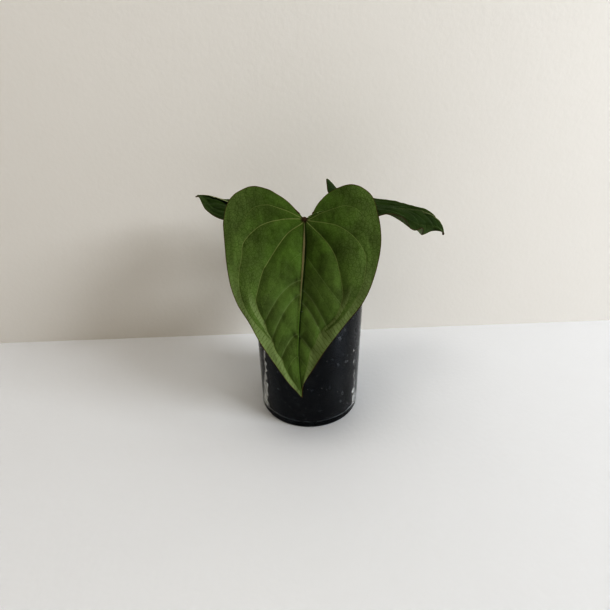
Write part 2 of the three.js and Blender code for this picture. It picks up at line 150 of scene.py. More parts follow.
def new_material(name):
    """A material with its tree, its Principled node and the piece's own coordinates."""
    material = bpy.data.materials.new(name)
    material.use_nodes = True
    tree = material.node_tree
    place = tree.nodes.new("ShaderNodeTexCoord").outputs["Object"]
    return material, tree, tree.nodes["Principled BSDF"], place


def dress(piece, *materials):
    """Gives a piece its materials, in the order of its slots."""
    piece.data.materials.clear()
    for material in materials:
        piece.data.materials.append(material)


bpy.ops.object.select_all(action="DESELECT")
bpy.ops.mesh.primitive_cylinder_add(
    vertices=JAR_SIDES, radius=JAR_RADIUS, depth=JAR_HEIGHT, location=(0, 0, JAR_HEIGHT / 2)
)
jar = new_piece("jar")
edit(jar, "FACE")
pick_faces(jar, lambda centre, normal: normal.z > 0.9)
bpy.ops.mesh.inset(thickness=GLASS_WALL)
bpy.ops.mesh.extrude_region_move(TRANSFORM_OT_translate={"value": (0, 0, GLASS_BASE - JAR_HEIGHT)})
pick_faces(jar, lambda centre, normal: normal.z < -0.9)
bpy.ops.mesh.inset(thickness=STANDING_RING)
bpy.ops.mesh.inset(thickness=HOLLOW_SLOPE)
bpy.ops.transform.translate(value=(0, 0, BASE_HOLLOW))
bpy.ops.mesh.select_mode(type="EDGE")
for height, radius, size in (
    (0, JAR_RADIUS, JAR_EDGE),
    (JAR_HEIGHT, JAR_RADIUS, RIM_ROUND),
    (JAR_HEIGHT, JAR_RADIUS - GLASS_WALL, RIM_ROUND),
    (GLASS_BASE, JAR_RADIUS - GLASS_WALL, JAR_INNER_EDGE),
):
    pick_edges(jar, loop_at(height, radius))
    bpy.ops.mesh.bevel(offset=size, segments=8, affect="EDGES")
close(jar)
bpy.ops.object.shade_smooth_by_angle(angle=math.radians(35))

clear_glass, tree, shader, place = new_material("clear_glass")
film = node(tree, "ShaderNodeTexNoise", {"Vector": place, "Scale": 70, "Detail": 5}).outputs["Fac"]
ripple = node(tree, "ShaderNodeTexNoise", {"Vector": place, "Scale": 45, "Detail": 1}).outputs["Fac"]
tint = blend(tree, film, (0.955, 0.985, 0.97, 1), (0.985, 0.995, 0.99, 1))
tree.links.new(tint, shader.inputs["Base Color"])
tree.links.new(span(tree, film, 0.45, 0.8, 0.0, 0.05), shader.inputs["Roughness"])
shader.inputs["Transmission Weight"].default_value = 1
shader.inputs["IOR"].default_value = 1.45
shader.inputs["Specular Tint"].default_value = (0.74, 0.85, 1.0, 1)
soft_ripple = node(tree, "ShaderNodeBump", {"Height": ripple, "Strength": 0.25, "Distance": 0.0004})
tree.links.new(soft_ripple.outputs["Normal"], shader.inputs["Normal"])
dress(jar, clear_glass)
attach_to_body(jar, "root")
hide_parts("glass_jar")


# Soil
# Fine black potting mix of peat, bark dust and a little grit, crumbly on top. It is pressed against the
# front of the glass, with small pockets of air, and has drawn back from the sides, the back and the base.
SOIL_RADIUS = 37.1 * MM
SOIL_DRAWN_BACK = 1.1 * MM
SOIL_RAGGED = 0.4 * MM
SOIL_POCKETS = 0.3 * MM
# the bearings from the front, to the right, between which the soil touches the glass
SOIL_TOUCHES = (-57, 59)
TOUCH_RAGGED = 7
SOIL_FLOOR = 2.75 * MM
SOIL_LOOSE_BELOW = (3.8 * MM, 4.5 * MM)
SOIL_TOP = 88 * MM
SOIL_CROWN = 1.2 * MM
SOIL_LUMP = 0.7 * MM
SOIL_SIDES = 230
TOP_RINGS = 28
TOP_RING_STEP = 1.2 * MM
FLOOR_RINGS = 5
FLOOR_RING_STEP = 2.5 * MM
SIDE_RINGS = 88
CLOD_HEIGHT = 0.9 * MM
CRUMB_HEIGHT = 0.55 * MM


def smoothstep(value, low, high):
    """0 below low and 1 above high, with a smooth rise between them, or the other way round."""
    share = np.clip((value - low) / (high - low), 0, 1)
    return share * share * (3 - 2 * share)


def soil_height(x, y):
    """Height of the soil's uneven top above its level edge."""
    across = math.hypot(x, y) / JAR_RADIUS
    x, y = x / MM, y / MM
    lumps = math.sin(x * 0.31 + 1) * math.cos(y * 0.27) + 0.6 * math.sin(x * 0.52 - y * 0.61)
    return SOIL_CROWN * (1 - across ** 2) + SOIL_LUMP * lumps * (1 - across ** 6)


bpy.ops.object.select_all(action="DESELECT")
bpy.ops.mesh.primitive_cylinder_add(
    vertices=SOIL_SIDES, radius=SOIL_RADIUS, depth=SOIL_TOP - SOIL_FLOOR,
    location=(0, 0, (SOIL_TOP + SOIL_FLOOR) / 2),
)
soil = new_piece("potting_soil")
edit(soil, "FACE")
pick_faces(soil, lambda centre, normal: normal.z > 0.9)
for ring in range(TOP_RINGS):
    bpy.ops.mesh.inset(thickness=TOP_RING_STEP)
pick_faces(soil, lambda centre, normal: normal.z < -0.9)
for ring in range(FLOOR_RINGS):
    bpy.ops.mesh.inset(thickness=FLOOR_RING_STEP)
bpy.ops.mesh.select_mode(type="EDGE")
pick_edges(soil, lambda a, b: abs(a.z - b.z) > 50 * MM)
bpy.ops.mesh.subdivide(number_cuts=SIDE_RINGS)
pick_edges(soil, loop_at(SOIL_FLOOR, SOIL_RADIUS))
bpy.ops.mesh.bevel(offset=0.9 * MM, segments=3, affect="EDGES")
close(soil)
top = soil.vertex_groups.new(name="top")
for corner in soil.data.vertices:
    inside = smoothstep(corner.co.xy.length, SOIL_RADIUS - 0.1 * MM, SOIL_RADIUS - 1.5 * MM)
    if corner.co.z > SOIL_TOP - 0.1 * MM:
        corner.co.z += soil_height(corner.co.x, corner.co.y)
        top.add([corner.index], inside, "REPLACE")
    ragged = noise.noise(corner.co * 260)
    bearing = math.degrees(math.atan2(corner.co.x, -corner.co.y)) + TOUCH_RAGGED * ragged
    loose = 1 - smoothstep(bearing, SOIL_TOUCHES[0] - 3, SOIL_TOUCHES[0])
    loose += smoothstep(bearing, SOIL_TOUCHES[1], SOIL_TOUCHES[1] + 3)
    height = corner.co.z + 1.6 * MM * noise.noise(corner.co * 160)
    loose = max(loose, 1 - smoothstep(height, *SOIL_LOOSE_BELOW))
    pocket = smoothstep(noise.noise(corner.co * 330), 0.5, 0.62)
    back = loose * (SOIL_DRAWN_BACK + SOIL_RAGGED * ragged) + SOIL_POCKETS * pocket
    corner.co.xy *= 1 - back / SOIL_RADIUS
clods = bpy.data.textures.new("clods", "CLOUDS")
clods.noise_scale = 4.5 * MM
clods.noise_depth = 4
crumb = bpy.data.textures.new("crumb", "VORONOI")
crumb.noise_scale = 1.7 * MM
for texture, strength, level in ((clods, CLOD_HEIGHT, 0.62), (crumb, CRUMB_HEIGHT, 0.7)):
    finish_modifier(
        soil, "DISPLACE", texture=texture, strength=strength, mid_level=level, texture_coords="LOCAL",
        vertex_group="top",
    )
bpy.ops.object.shade_smooth()

black_soil, tree, shader, place = new_material("black_soil")
peat = node(tree, "ShaderNodeTexNoise", {"Vector": place, "Scale": 420, "Detail": 6}).outputs["Fac"]
damp = node(tree, "ShaderNodeTexNoise", {"Vector": place, "Scale": 55, "Detail": 3}).outputs["Fac"]
cells = node(tree, "ShaderNodeTexVoronoi", {"Vector": place, "Scale": 620}, feature="F1")
chosen = node(tree, "ShaderNodeSeparateColor", {"Color": cells.outputs["Color"]}).outputs["Red"]
speck = span(tree, cells.outputs["Distance"], 0.12, 0.26, 1, 0)
specks = maths(tree, "MULTIPLY", speck, span(tree, chosen, 0.935, 0.945))
dark = blend(tree, span(tree, peat, 0.35, 0.75), (0.004, 0.0034, 0.0036, 1), (0.02, 0.0155, 0.0135, 1))
dry = blend(tree, span(tree, damp, 0.5, 0.75, 0, 0.6), dark, (0.016, 0.015, 0.016, 1))
tree.links.new(blend(tree, specks, dry, (0.30, 0.28, 0.25, 1)), shader.inputs["Base Color"])
tree.links.new(span(tree, damp, 0.3, 0.7, 0.62, 0.95), shader.inputs["Roughness"])
shader.inputs["Specular IOR Level"].default_value = 0.3
up = node(tree, "ShaderNodeSeparateXYZ", {"Vector": place}).outputs["Z"]
pressed = span(tree, up, SOIL_TOP - 3 * MM, SOIL_TOP - 0.5 * MM, 0.2, 0.8)
crumbly = node(tree, "ShaderNodeBump", {"Height": peat, "Strength": pressed, "Distance": 0.0006})
tree.links.new(crumbly.outputs["Normal"], shader.inputs["Normal"])
dress(soil, black_soil)
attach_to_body(soil, "root")
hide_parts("soil")


# Crumbs and grit on the soil
# Loose crumbs of bark and peat and a few white grains of perlite, a puffed volcanic glass that keeps the
# mix airy. They lie on the soil where they fell.
CRUMBS = 420
PERLITE = 34
CRUMBS_OUT_TO = 34.5 * MM

bpy.ops.object.select_all(action="DESELECT")
bpy.ops.mesh.primitive_ico_sphere_add(subdivisions=2, radius=1)
crumb_shape = new_piece("crumb_shape")


def scatter(name, count, smallest, largest, seed):
    """Copies of the crumb, each turned, squashed and roughened, lying on the soil, as one piece."""
    chance = random.Random(seed)
    made = []
    for i in range(count):
        angle = chance.uniform(0, 2 * math.pi)
        out = CRUMBS_OUT_TO * math.sqrt(chance.uniform(0.03, 1))
        size = smallest + (largest - smallest) * chance.random() ** 2.2
        x, y = out * math.cos(angle), out * math.sin(angle)
        lift = SOIL_TOP + soil_height(x, y) + size * 0.1
        turn = Matrix.Rotation(chance.uniform(0, 6.28), 4, "Z")
        turn @= Matrix.Rotation(chance.uniform(0, 3.1), 4, "X")
        squash = Matrix.Diagonal((1, chance.uniform(0.55, 0.95), chance.uniform(0.45, 0.8), 1))
        copy = crumb_shape.copy()
        copy.data = crumb_shape.data.copy()
        shift = Vector((chance.uniform(-9, 9), chance.uniform(-9, 9), chance.uniform(-9, 9)))
        for corner in copy.data.vertices:
            corner.co *= size * (1 + 0.5 * noise.noise(corner.co * 1.3 + shift))
        copy.data.transform(Matrix.Translation((x, y, lift)) @ turn @ squash)
        bpy.context.collection.objects.link(copy)
        made.append(copy)
    bpy.ops.object.select_all(action="DESELECT")
    for copy in made:
        copy.select_set(True)
    bpy.context.view_layer.objects.active = made[0]
    bpy.ops.object.join()
    piece = new_piece(name)
    bpy.ops.object.shade_smooth()
    return piece


bark_crumbs = scatter("bark_crumbs", CRUMBS, 0.35 * MM, 1.5 * MM, 4)
perlite_grains = scatter("perlite_grains", PERLITE, 0.4 * MM, 1.1 * MM, 9)
bpy.data.objects.remove(crumb_shape)

bark_dust, tree, shader, place = new_material("bark_dust")
bits = node(tree, "ShaderNodeTexNoise", {"Vector": place, "Scale": 260, "Detail": 5}).outputs["Fac"]
tree.links.new(
    blend(tree, span(tree, bits, 0.35, 0.7), (0.012, 0.009, 0.007, 1), (0.075, 0.047, 0.03, 1)),
    shader.inputs["Base Color"],
)
tree.links.new(span(tree, bits, 0.3, 0.7, 0.95, 0.7), shader.inputs["Roughness"])
flaky = node(tree, "ShaderNodeBump", {"Height": bits, "Strength": 0.7, "Distance": 0.0004})
tree.links.new(flaky.outputs["Normal"], shader.inputs["Normal"])
dress(bark_crumbs, bark_dust)

perlite, tree, shader, place = new_material("perlite")
pores = node(tree, "ShaderNodeTexVoronoi", {"Vector": place, "Scale": 2600}).outputs["Distance"]
tree.links.new(
    blend(tree, span(tree, pores, 0.1, 0.6), (0.28, 0.25, 0.21, 1), (0.66, 0.64, 0.6, 1)),
    shader.inputs["Base Color"],
)
shader.inputs["Roughness"].default_value = 0.9
pitted = node(tree, "ShaderNodeBump", {"Height": pores, "Strength": 0.6, "Distance": 0.0003})
tree.links.new(pitted.outputs["Normal"], shader.inputs["Normal"])
dress(perlite_grains, perlite)
for piece in (bark_crumbs, perlite_grains):
    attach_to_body(piece, "root")


# Rootstock
# The short upright stem, 10 mm thick and ringed by the scars of old leaf bases, with tan, finely wrinkled
# skin. Pale roots grow from it down through the soil, and three run round close to the glass.
STOCK_RADIUS = 5 * MM
STOCK_TAPER = 0.62
STOCK_BOTTOM = 60 * MM
STOCK_TOP = 98 * MM
STOCK_ROUND = 2.4 * MM
STOCK_RINGS = 7
STOCK_RING_HEIGHT = 0.35 * MM
# at the rootstock, six tenths of the way along, close to the end and at the end
ROOT_RADII = (0.95 * MM, 0.62 * MM, 0.5 * MM, 0.1 * MM)
ROOT_LEAD = 24
ROOT_CIRCLE = 35.75 * MM
ROOTS = (
    # height, bearing, depth, reach, run, drop: heights and reaches in metres, angles in degrees
    (66 * MM, -150, 30 * MM, ROOT_CIRCLE, 95, 14 * MM),
    (69 * MM, -35, 24 * MM, ROOT_CIRCLE, -70, 9 * MM),
    (64 * MM, 70, 26 * MM, ROOT_CIRCLE, 80, 10 * MM),
    (71 * MM, 160, 40 * MM, 27 * MM, 10, 12 * MM),
    (62 * MM, 20, 18 * MM, 18 * MM, 12, 6 * MM),
)


def smooth_run(points, at):
    """Points of a smooth curve through others, read from 0 to 1 along their order."""
    corners = np.asarray(points, float)
    corners = np.vstack([2 * corners[0] - corners[1], corners, 2 * corners[-1] - corners[-2]])
    place = np.clip(np.asarray(at, float), 0, 1) * (len(points) - 1)
    first = np.minimum(place.astype(int), len(points) - 2)
    share = (place - first)[..., None]
    a, b, c, d = (corners[first + i] for i in range(4))
    cubic = (3 * b - 3 * c + d - a) * share ** 3
    return 0.5 * (2 * b + (c - a) * share + (2 * a - 5 * b + 4 * c - d) * share ** 2 + cubic)


def tube(name, points, radii, sides):
    """A round tube with closed ends through points, swelling and thinning by the radius at each."""
    bpy.ops.object.select_all(action="DESELECT")
    bpy.ops.curve.primitive_nurbs_path_add()
    curve = bpy.context.object
    curve.data.splines.clear()
    line = curve.data.splines.new("POLY")
    line.points.add(len(points) - 1)
    for corner, point, radius in zip(line.points, points, radii):
        corner.co = (*point, 1)
        corner.radius = radius
    curve.data.dimensions = "3D"
    curve.data.bevel_depth = 1
    curve.data.bevel_resolution = sides // 4 - 1
    curve.data.use_fill_caps = True
    bpy.ops.object.convert(target="MESH")
    piece = new_piece(name)
    bpy.ops.object.shade_smooth()
    return piece


def root_points(height, bearing, depth, reach, run, drop):
    """Points down one root: out of the rootstock, down, and on round at its reach."""
    way = math.copysign(1, run)
    spots = [
        (1.5 * MM, bearing, height),
        (8 * MM, bearing, height - 3 * MM),
        (reach * 0.6, bearing + way * 4, (height + depth) / 2 + 4 * MM),
        (reach * 0.92, bearing + way * 10, depth + 6 * MM),
    ]
    for share in (0, 0.2, 0.4, 0.6, 0.8, 1):
        spots.append((reach, bearing + way * ROOT_LEAD + run * share, depth - drop * share))
    return [(r * math.cos(math.radians(b)), r * math.sin(math.radians(b)), z) for r, b, z in spots]


bpy.ops.object.select_all(action="DESELECT")
bpy.ops.mesh.primitive_cylinder_add(
    vertices=48, radius=STOCK_RADIUS, depth=STOCK_TOP - STOCK_BOTTOM,
    location=(0, 0, (STOCK_TOP + STOCK_BOTTOM) / 2),
)
rootstock = new_piece("rootstock_stem")
edit(rootstock, "EDGE")
pick_edges(rootstock, lambda a, b: abs(a.z - b.z) > 20 * MM)
bpy.ops.mesh.subdivide(number_cuts=STOCK_RINGS * 10 - 1)
pick_edges(rootstock, loop_at(STOCK_TOP, STOCK_RADIUS))
bpy.ops.mesh.bevel(offset=STOCK_ROUND, segments=6, affect="EDGES")
close(rootstock)
for corner in rootstock.data.vertices:
    share = (corner.co.z - STOCK_BOTTOM) / (STOCK_TOP - STOCK_BOTTOM)
    swell = STOCK_TAPER + (1 - STOCK_TAPER) * smoothstep(share, 0, 0.6)
    wave = share * STOCK_RINGS + 0.12 * math.sin(math.atan2(corner.co.y, corner.co.x) * 2 + share * 9)
    ring = STOCK_RING_HEIGHT / STOCK_RADIUS * (1 - 2 * abs(wave % 1 - 0.5)) ** 3
    wrinkle = 0.05 * noise.noise(Vector((corner.co.x, corner.co.y, corner.co.z * 3)) * 420)
    corner.co.xy *= swell + ring + wrinkle
bpy.ops.object.shade_smooth()
roots = []
for i, spec in enumerate(ROOTS):
    steps = np.linspace(0, 1, 90)
    line = smooth_run(root_points(*spec), steps)
    wander = 0.45 * MM * np.sin(steps * 31 + i * 2.1) * smoothstep(steps, 0.4, 0.6)
    line[:, :2] *= (1 + wander / np.maximum(np.hypot(line[:, 0], line[:, 1]), MM))[:, None]
    line[:, 2] += 0.5 * MM * np.sin(steps * 47 + i)
    radii = np.interp(steps, [0, 0.6, 0.97, 1], ROOT_RADII)
    roots.append(tube(f"root_{i + 1}", line, radii, 12))
bpy.ops.object.select_all(action="DESELECT")
for piece in (*roots, rootstock):
    piece.select_set(True)
bpy.context.view_layer.objects.active = rootstock
bpy.ops.object.join()

root_skin, tree, shader, place = new_material("root_skin")
fibre = node(tree, "ShaderNodeTexNoise", {"Vector": place, "Scale": 500, "Detail": 5}).outputs["Fac"]
stain = node(tree, "ShaderNodeTexNoise", {"Vector": place, "Scale": 120, "Detail": 3}).outputs["Fac"]
height = node(tree, "ShaderNodeSeparateXYZ", {"Vector": place}).outputs["Z"]
tan = blend(tree, span(tree, fibre, 0.3, 0.7), (0.11, 0.075, 0.04, 1), (0.27, 0.21, 0.12, 1))
green = blend(tree, span(tree, height, 0.092, 0.097, 0, 0.55), tan, (0.16, 0.18, 0.06, 1))
earthy = blend(tree, span(tree, height, 0.0885, 0.086, 0, 0.72), green, (0.06, 0.054, 0.05, 1))
tree.links.new(
    blend(tree, span(tree, stain, 0.5, 0.68, 0, 0.55), earthy, (0.035, 0.024, 0.016, 1)),
    shader.inputs["Base Color"],
)
tree.links.new(span(tree, stain, 0.3, 0.7, 0.6, 0.9), shader.inputs["Roughness"])
wrinkled = node(tree, "ShaderNodeBump", {"Height": fibre, "Strength": 0.6, "Distance": 0.0004})
tree.links.new(wrinkled.outputs["Normal"], shader.inputs["Normal"])
dress(rootstock, root_skin)
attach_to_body(rootstock, "root")
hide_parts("rootstock")


# Sheaths
# Dry pointed bracts that once wrapped each young leaf. They are thin, brown and papery with long
# fibres, and stay on round the top of the rootstock.
SHEATH_HEIGHT = 15 * MM
SHEATH_THICKNESS = 0.4 * MM
SHEATH_CLEAR = 0.55 * MM
SHEATH_CREASE = 0.12 * MM
SHEATHS = {
    # bearing of the middle, angle wrapped at the foot, height of the foot, lean of the point
    "right": (-24, 80, 91 * MM, 5.5 * MM),
    "back": (95, 50, 92 * MM, 4 * MM),
    "left": (209, 72, 91.3 * MM, 6.5 * MM),
}
SHEATH_COLUMNS = 28
SHEATH_ROWS = 44

dry_paper, tree, shader, place = new_material("dry_paper")
run = node(tree, "ShaderNodeUVMap", uv_map="UVMap").outputs["UV"]
long = node(tree, "ShaderNodeMapping", {"Vector": run, "Scale": (60, 3, 1)}).outputs["Vector"]
fibres = node(tree, "ShaderNodeTexNoise", {"Vector": long, "Scale": 1, "Detail": 5}).outputs["Fac"]
blotch = node(tree, "ShaderNodeTexNoise", {"Vector": place, "Scale": 260, "Detail": 3}).outputs["Fac"]
straw = blend(tree, span(tree, fibres, 0.35, 0.68), (0.13, 0.066, 0.028, 1), (0.40, 0.25, 0.12, 1))
tree.links.new(
    blend(tree, span(tree, blotch, 0.52, 0.7, 0, 0.6), straw, (0.075, 0.036, 0.018, 1)),
    shader.inputs["Base Color"],
)
tree.links.new(span(tree, fibres, 0.3, 0.7, 0.85, 0.6), shader.inputs["Roughness"])
ribbed = node(tree, "ShaderNodeBump", {"Height": fibres, "Strength": 0.8, "Distance": 0.0003})
tree.links.new(ribbed.outputs["Normal"], shader.inputs["Normal"])

for side, (bearing, wrap, foot, lean) in SHEATHS.items():
    bpy.ops.object.select_all(action="DESELECT")
    bpy.ops.mesh.primitive_grid_add(
        x_subdivisions=SHEATH_COLUMNS, y_subdivisions=SHEATH_ROWS, size=1, calc_uvs=True
    )
    sheath = new_piece(f"papery_sheath_{side}")
    for corner in sheath.data.vertices:
        across, up = corner.co.x, corner.co.y + 0.5
        torn = 0.05 * noise.noise(Vector((across * 9, wrap, 0))) * smoothstep(up, 0.5, 1)
        rise = up * (1 + torn)
        turn = math.radians(bearing + across * wrap * (1 - 0.93 * rise ** 2.2))
        crease = SHEATH_CREASE * math.sin(across * 40) * up
        radius = STOCK_RADIUS + STOCK_RING_HEIGHT + SHEATH_CLEAR + lean * rise * rise + crease
        corner.co = (radius * math.cos(turn), radius * math.sin(turn), foot + SHEATH_HEIGHT * min(rise, 1))
    finish_modifier(sheath, "SOLIDIFY", thickness=SHEATH_THICKNESS, offset=0)
    edit(sheath, "FACE")
    bpy.ops.mesh.select_all(action="SELECT")
    bpy.ops.mesh.normals_make_consistent(inside=False)
    close(sheath)
    bpy.ops.object.shade_smooth_by_angle(angle=math.radians(50))
    dress(sheath, dry_paper)
    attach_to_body(sheath, "root")
    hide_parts(f"sheath_{side}")


# Leaf stalks
# Slender round stalks, firm and waxy, olive green with fine pale streaks. Each is thicker where it
# leaves the rootstock and again at the reddish joint that turns its blade to the light.
STALK_BASE_RADIUS = 2.1 * MM
STALK_RADIUS = 1.35 * MM
JOINT_RADIUS = 1.5 * MM
JOINT_LENGTH = 9 * MM
JOINT_ROUND = 0.5 * MM
# how far the stalk's end runs straight below its blade, and stands above it, in millimetres
STALK_STRAIGHT = 6.75
STALK_ABOVE = 0.35
# How each leaf hangs. Places and lengths are in millimetres, turns in degrees. A group of three is read at
# the stalk, halfway and at the tip, and 1 and -1 are the two halves of the blade.
FRONT_HANG = {
    "attach": (-2.3, -19.9, 148), "length": 111, "heading": -94.7, "pitch": 64.1, "roll": 0,
    "droop": (0, 4, 8), "sway": (0, 0, 0), "lift": 1.2, "twist": 0, "bow": -3.2,
    "fold": {1: (9, 9, 9), -1: (9, 9, 9)},
    "curl": {1: (-12, -12, -12), -1: (-12, -12, -12)},
}
RIGHT_HANG = {
    "attach": (33.5, 29.7, 148.6), "length": 87.7, "heading": 13.3, "pitch": 1.5, "roll": 8.1,
    "droop": (0, 1.9, 72), "sway": (0, -18.1, 12.4), "lift": 1.6, "twist": 35, "bow": 0,
    "fold": {1: (24.7, -29.7, 2.8), -1: (19.5, 12.9, -64.8)},
    "curl": {1: (-24.2, 19.5, -38.1), -1: (-33.1, -11.7, -27.6)},
}
LEFT_HANG = {
    "attach": (-29.7, 22.5, 153.1), "length": 74, "heading": 162.2, "pitch": 9.4, "roll": 18.9,
    "droop": (0, -24, -0.5), "sway": (0, -4.2, -26), "lift": 0, "twist": 10.3, "bow": 0,
    "fold": {1: (-27.1, -33, -8.8), -1: (9.8, 8.8, -6.9)},
    "curl": {1: (-10.6, -4.7, -44), -1: (-12.5, 19.1, -4.1)},
}
STALKS = {
    # how the leaf hangs, then the points of the stalk from its foot in the rootstock
    "front": (FRONT_HANG, ((0.4, -3, 92.5), (0.5, -4.5, 104), (-0.8, -5.2, 126))),
    "left": (LEFT_HANG, ((-3, 1.8, 92), (-7.5, 5, 106), (-18, 13.5, 132))),
    "right": (RIGHT_HANG, ((2.8, 2.4, 91.5), (8, 7.5, 105), (21, 18.5, 130))),
}


def axes_at_stalk(hang):
    """Directions at the stalk: along the midrib, to its left, and out of the upper face."""
    heading, pitch, roll = (math.radians(hang[key]) for key in ("heading", "pitch", "roll"))
    level = np.array([math.cos(heading), math.sin(heading), 0])
    upright = np.array([0, 0, 1])
    ahead = level * math.cos(pitch) - upright * math.sin(pitch)
    above = level * math.sin(pitch) + upright * math.cos(pitch)
    left = np.cross(above, ahead)
    return (
        ahead,
        left * math.cos(roll) + above * math.sin(roll),
        above * math.cos(roll) - left * math.sin(roll),
    )


stalk_skin, tree, shader, place = new_material("stalk_skin")
run = node(tree, "ShaderNodeUVMap", uv_map="UVMap").outputs["UV"]
along = node(tree, "ShaderNodeSeparateXYZ", {"Vector": run}).outputs["X"]
long = node(tree, "ShaderNodeMapping", {"Vector": run, "Scale": (4, 24, 1)}).outputs["Vector"]
streaks = node(tree, "ShaderNodeTexNoise", {"Vector": long, "Scale": 1, "Detail": 4}).outputs["Fac"]
dots = node(tree, "ShaderNodeTexVoronoi", {"Vector": place, "Scale": 1100}).outputs["Distance"]
olive = blend(tree, span(tree, streaks, 0.3, 0.7), (0.075, 0.105, 0.028, 1), (0.17, 0.20, 0.065, 1))
dotted = blend(tree, span(tree, dots, 0.12, 0.2, 0.5, 0), olive, (0.27, 0.28, 0.13, 1))
joint = blend(tree, span(tree, along, 0.86, 0.97, 0, 0.92), dotted, (0.06, 0.022, 0.012, 1))
tree.links.new(
    blend(tree, span(tree, along, 0.0, 0.16, 0.6, 0), joint, (0.16, 0.085, 0.04, 1)),
    shader.inputs["Base Color"],
)
wax = span(tree, streaks, 0.3, 0.7, 0.34, 0.5)
corky = span(tree, along, 0.86, 0.97, 0, 0.75)
tree.links.new(maths(tree, "MAXIMUM", wax, corky), shader.inputs["Roughness"])
shader.inputs["Coat Weight"].default_value = 0.06
waxy = node(tree, "ShaderNodeBump", {"Height": streaks, "Strength": 0.35, "Distance": 0.0003})
tree.links.new(waxy.outputs["Normal"], shader.inputs["Normal"])

for side, (hang, way) in STALKS.items():
    attach = np.array(hang["attach"], float)
    above = axes_at_stalk(hang)[2]
    line = np.vstack([way, attach - above * STALK_STRAIGHT, attach + above * STALK_ABOVE])
    steps = np.linspace(0, 1, 240)
    points = smooth_run(line, steps) * MM
    walked = np.concatenate([[0], np.cumsum(np.linalg.norm(np.diff(points, axis=0), axis=1))])
    share = walked / walked[-1]
    flare = (STALK_BASE_RADIUS - STALK_RADIUS) * (1 - smoothstep(share, 0.05, 0.3))
    swelling = smoothstep(walked, walked[-1] - JOINT_LENGTH, walked[-1] - 2 * MM)
    rounded = np.sqrt(np.clip((walked[-1] - walked) / JOINT_ROUND, 0.0004, 1))
    radii = (STALK_RADIUS + flare + (JOINT_RADIUS - STALK_RADIUS) * swelling) * rounded
    stalk = tube(f"leaf_stalk_{side}", points, radii, 24)
    dress(stalk, stalk_skin)
    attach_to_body(stalk, "root")
    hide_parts(f"stalk_{side}")


# Leaves
# Heart-shaped blades, velvety above and paler below, each grown from the joint of its stalk to a drawn-out
# drip tip. The midrib and the curved main veins lie sunk between soft pillows, side veins run from the
# midrib to the inner main vein, and short rungs cross the strip along the margin.
BLADE_THICKNESS = 0.4 * MM

# One flat form serves all three. It is drawn in millimetres at a length of 113, with s along the midrib
# from the stalk and t out from it. Each leaf scales it to its own length, then folds, curls, droops and
# twists it.
FORM_LENGTH = 113
# radius of the hole that closes round the stalk's joint, and the reach at which its directions are read
COLLAR = 1.1
COLLAR_REACH = 0.06
# the mesh's columns stand closer together beside the rays, and its rings near the stalk
COLUMNS_CLOSER = 0.06
RINGS_CLOSER = 1.1
# a half's width as a share of the length, and how far out from the midrib its sideways bow reaches
HALF_SHARE = 0.43
BOW_REACH = 22
RUFFLE_HEIGHT = 0.45
UNEVEN_HEIGHT = 0.55
MIDRIB_HEIGHT = 0.5
MIDRIB_HALF_WIDTH = 0.42
# depths of the valleys on each half of the midrib and along the side veins, and how far out the sides of
# the valleys of the midrib, the main veins and the side veins slope
MIDRIB_VALLEY = {1: 5, -1: 2.8}
SIDE_VALLEY = 2.1
MIDRIB_SLOPE = 8
MAIN_SLOPE = 4
SIDE_SLOPE = 2.8
# the power at which valleys merge, so that the deeper one wins where two meet
VALLEY_MERGE = 3
# half widths of a side vein at the midrib and at its end, for a valley of full depth
SIDE_VEIN_WIDTHS = (0.32, 0.22)
# how far, and over what reach, the end of a deep side vein draws in the inner main vein
DRAWN_IN = 2.1
DRAWN_REACH = 3.4
# the blades' maps for the materials hold millimetres of the flat form divided by this
MAP_UNIT = 100
# a half's margin from the notch to the tip as its map counts it, and a distance with no vein or margin near
MARGIN_RUN = 180
FAR_AWAY = 99.0
# folds of the right leaf's margin: a place along the outline, and how far the margin falls there
RIGHT_PLEATS = (
    (5.5, 0), (6.3, 1.2), (7.5, 0.9), (8, 5.6), (8.6, 4.4), (9.15, 0), (9.5, 6.9), (10, 4.8), (11, 1.2),
    (12, -4.7), (13, -3.5), (14, 0),
)
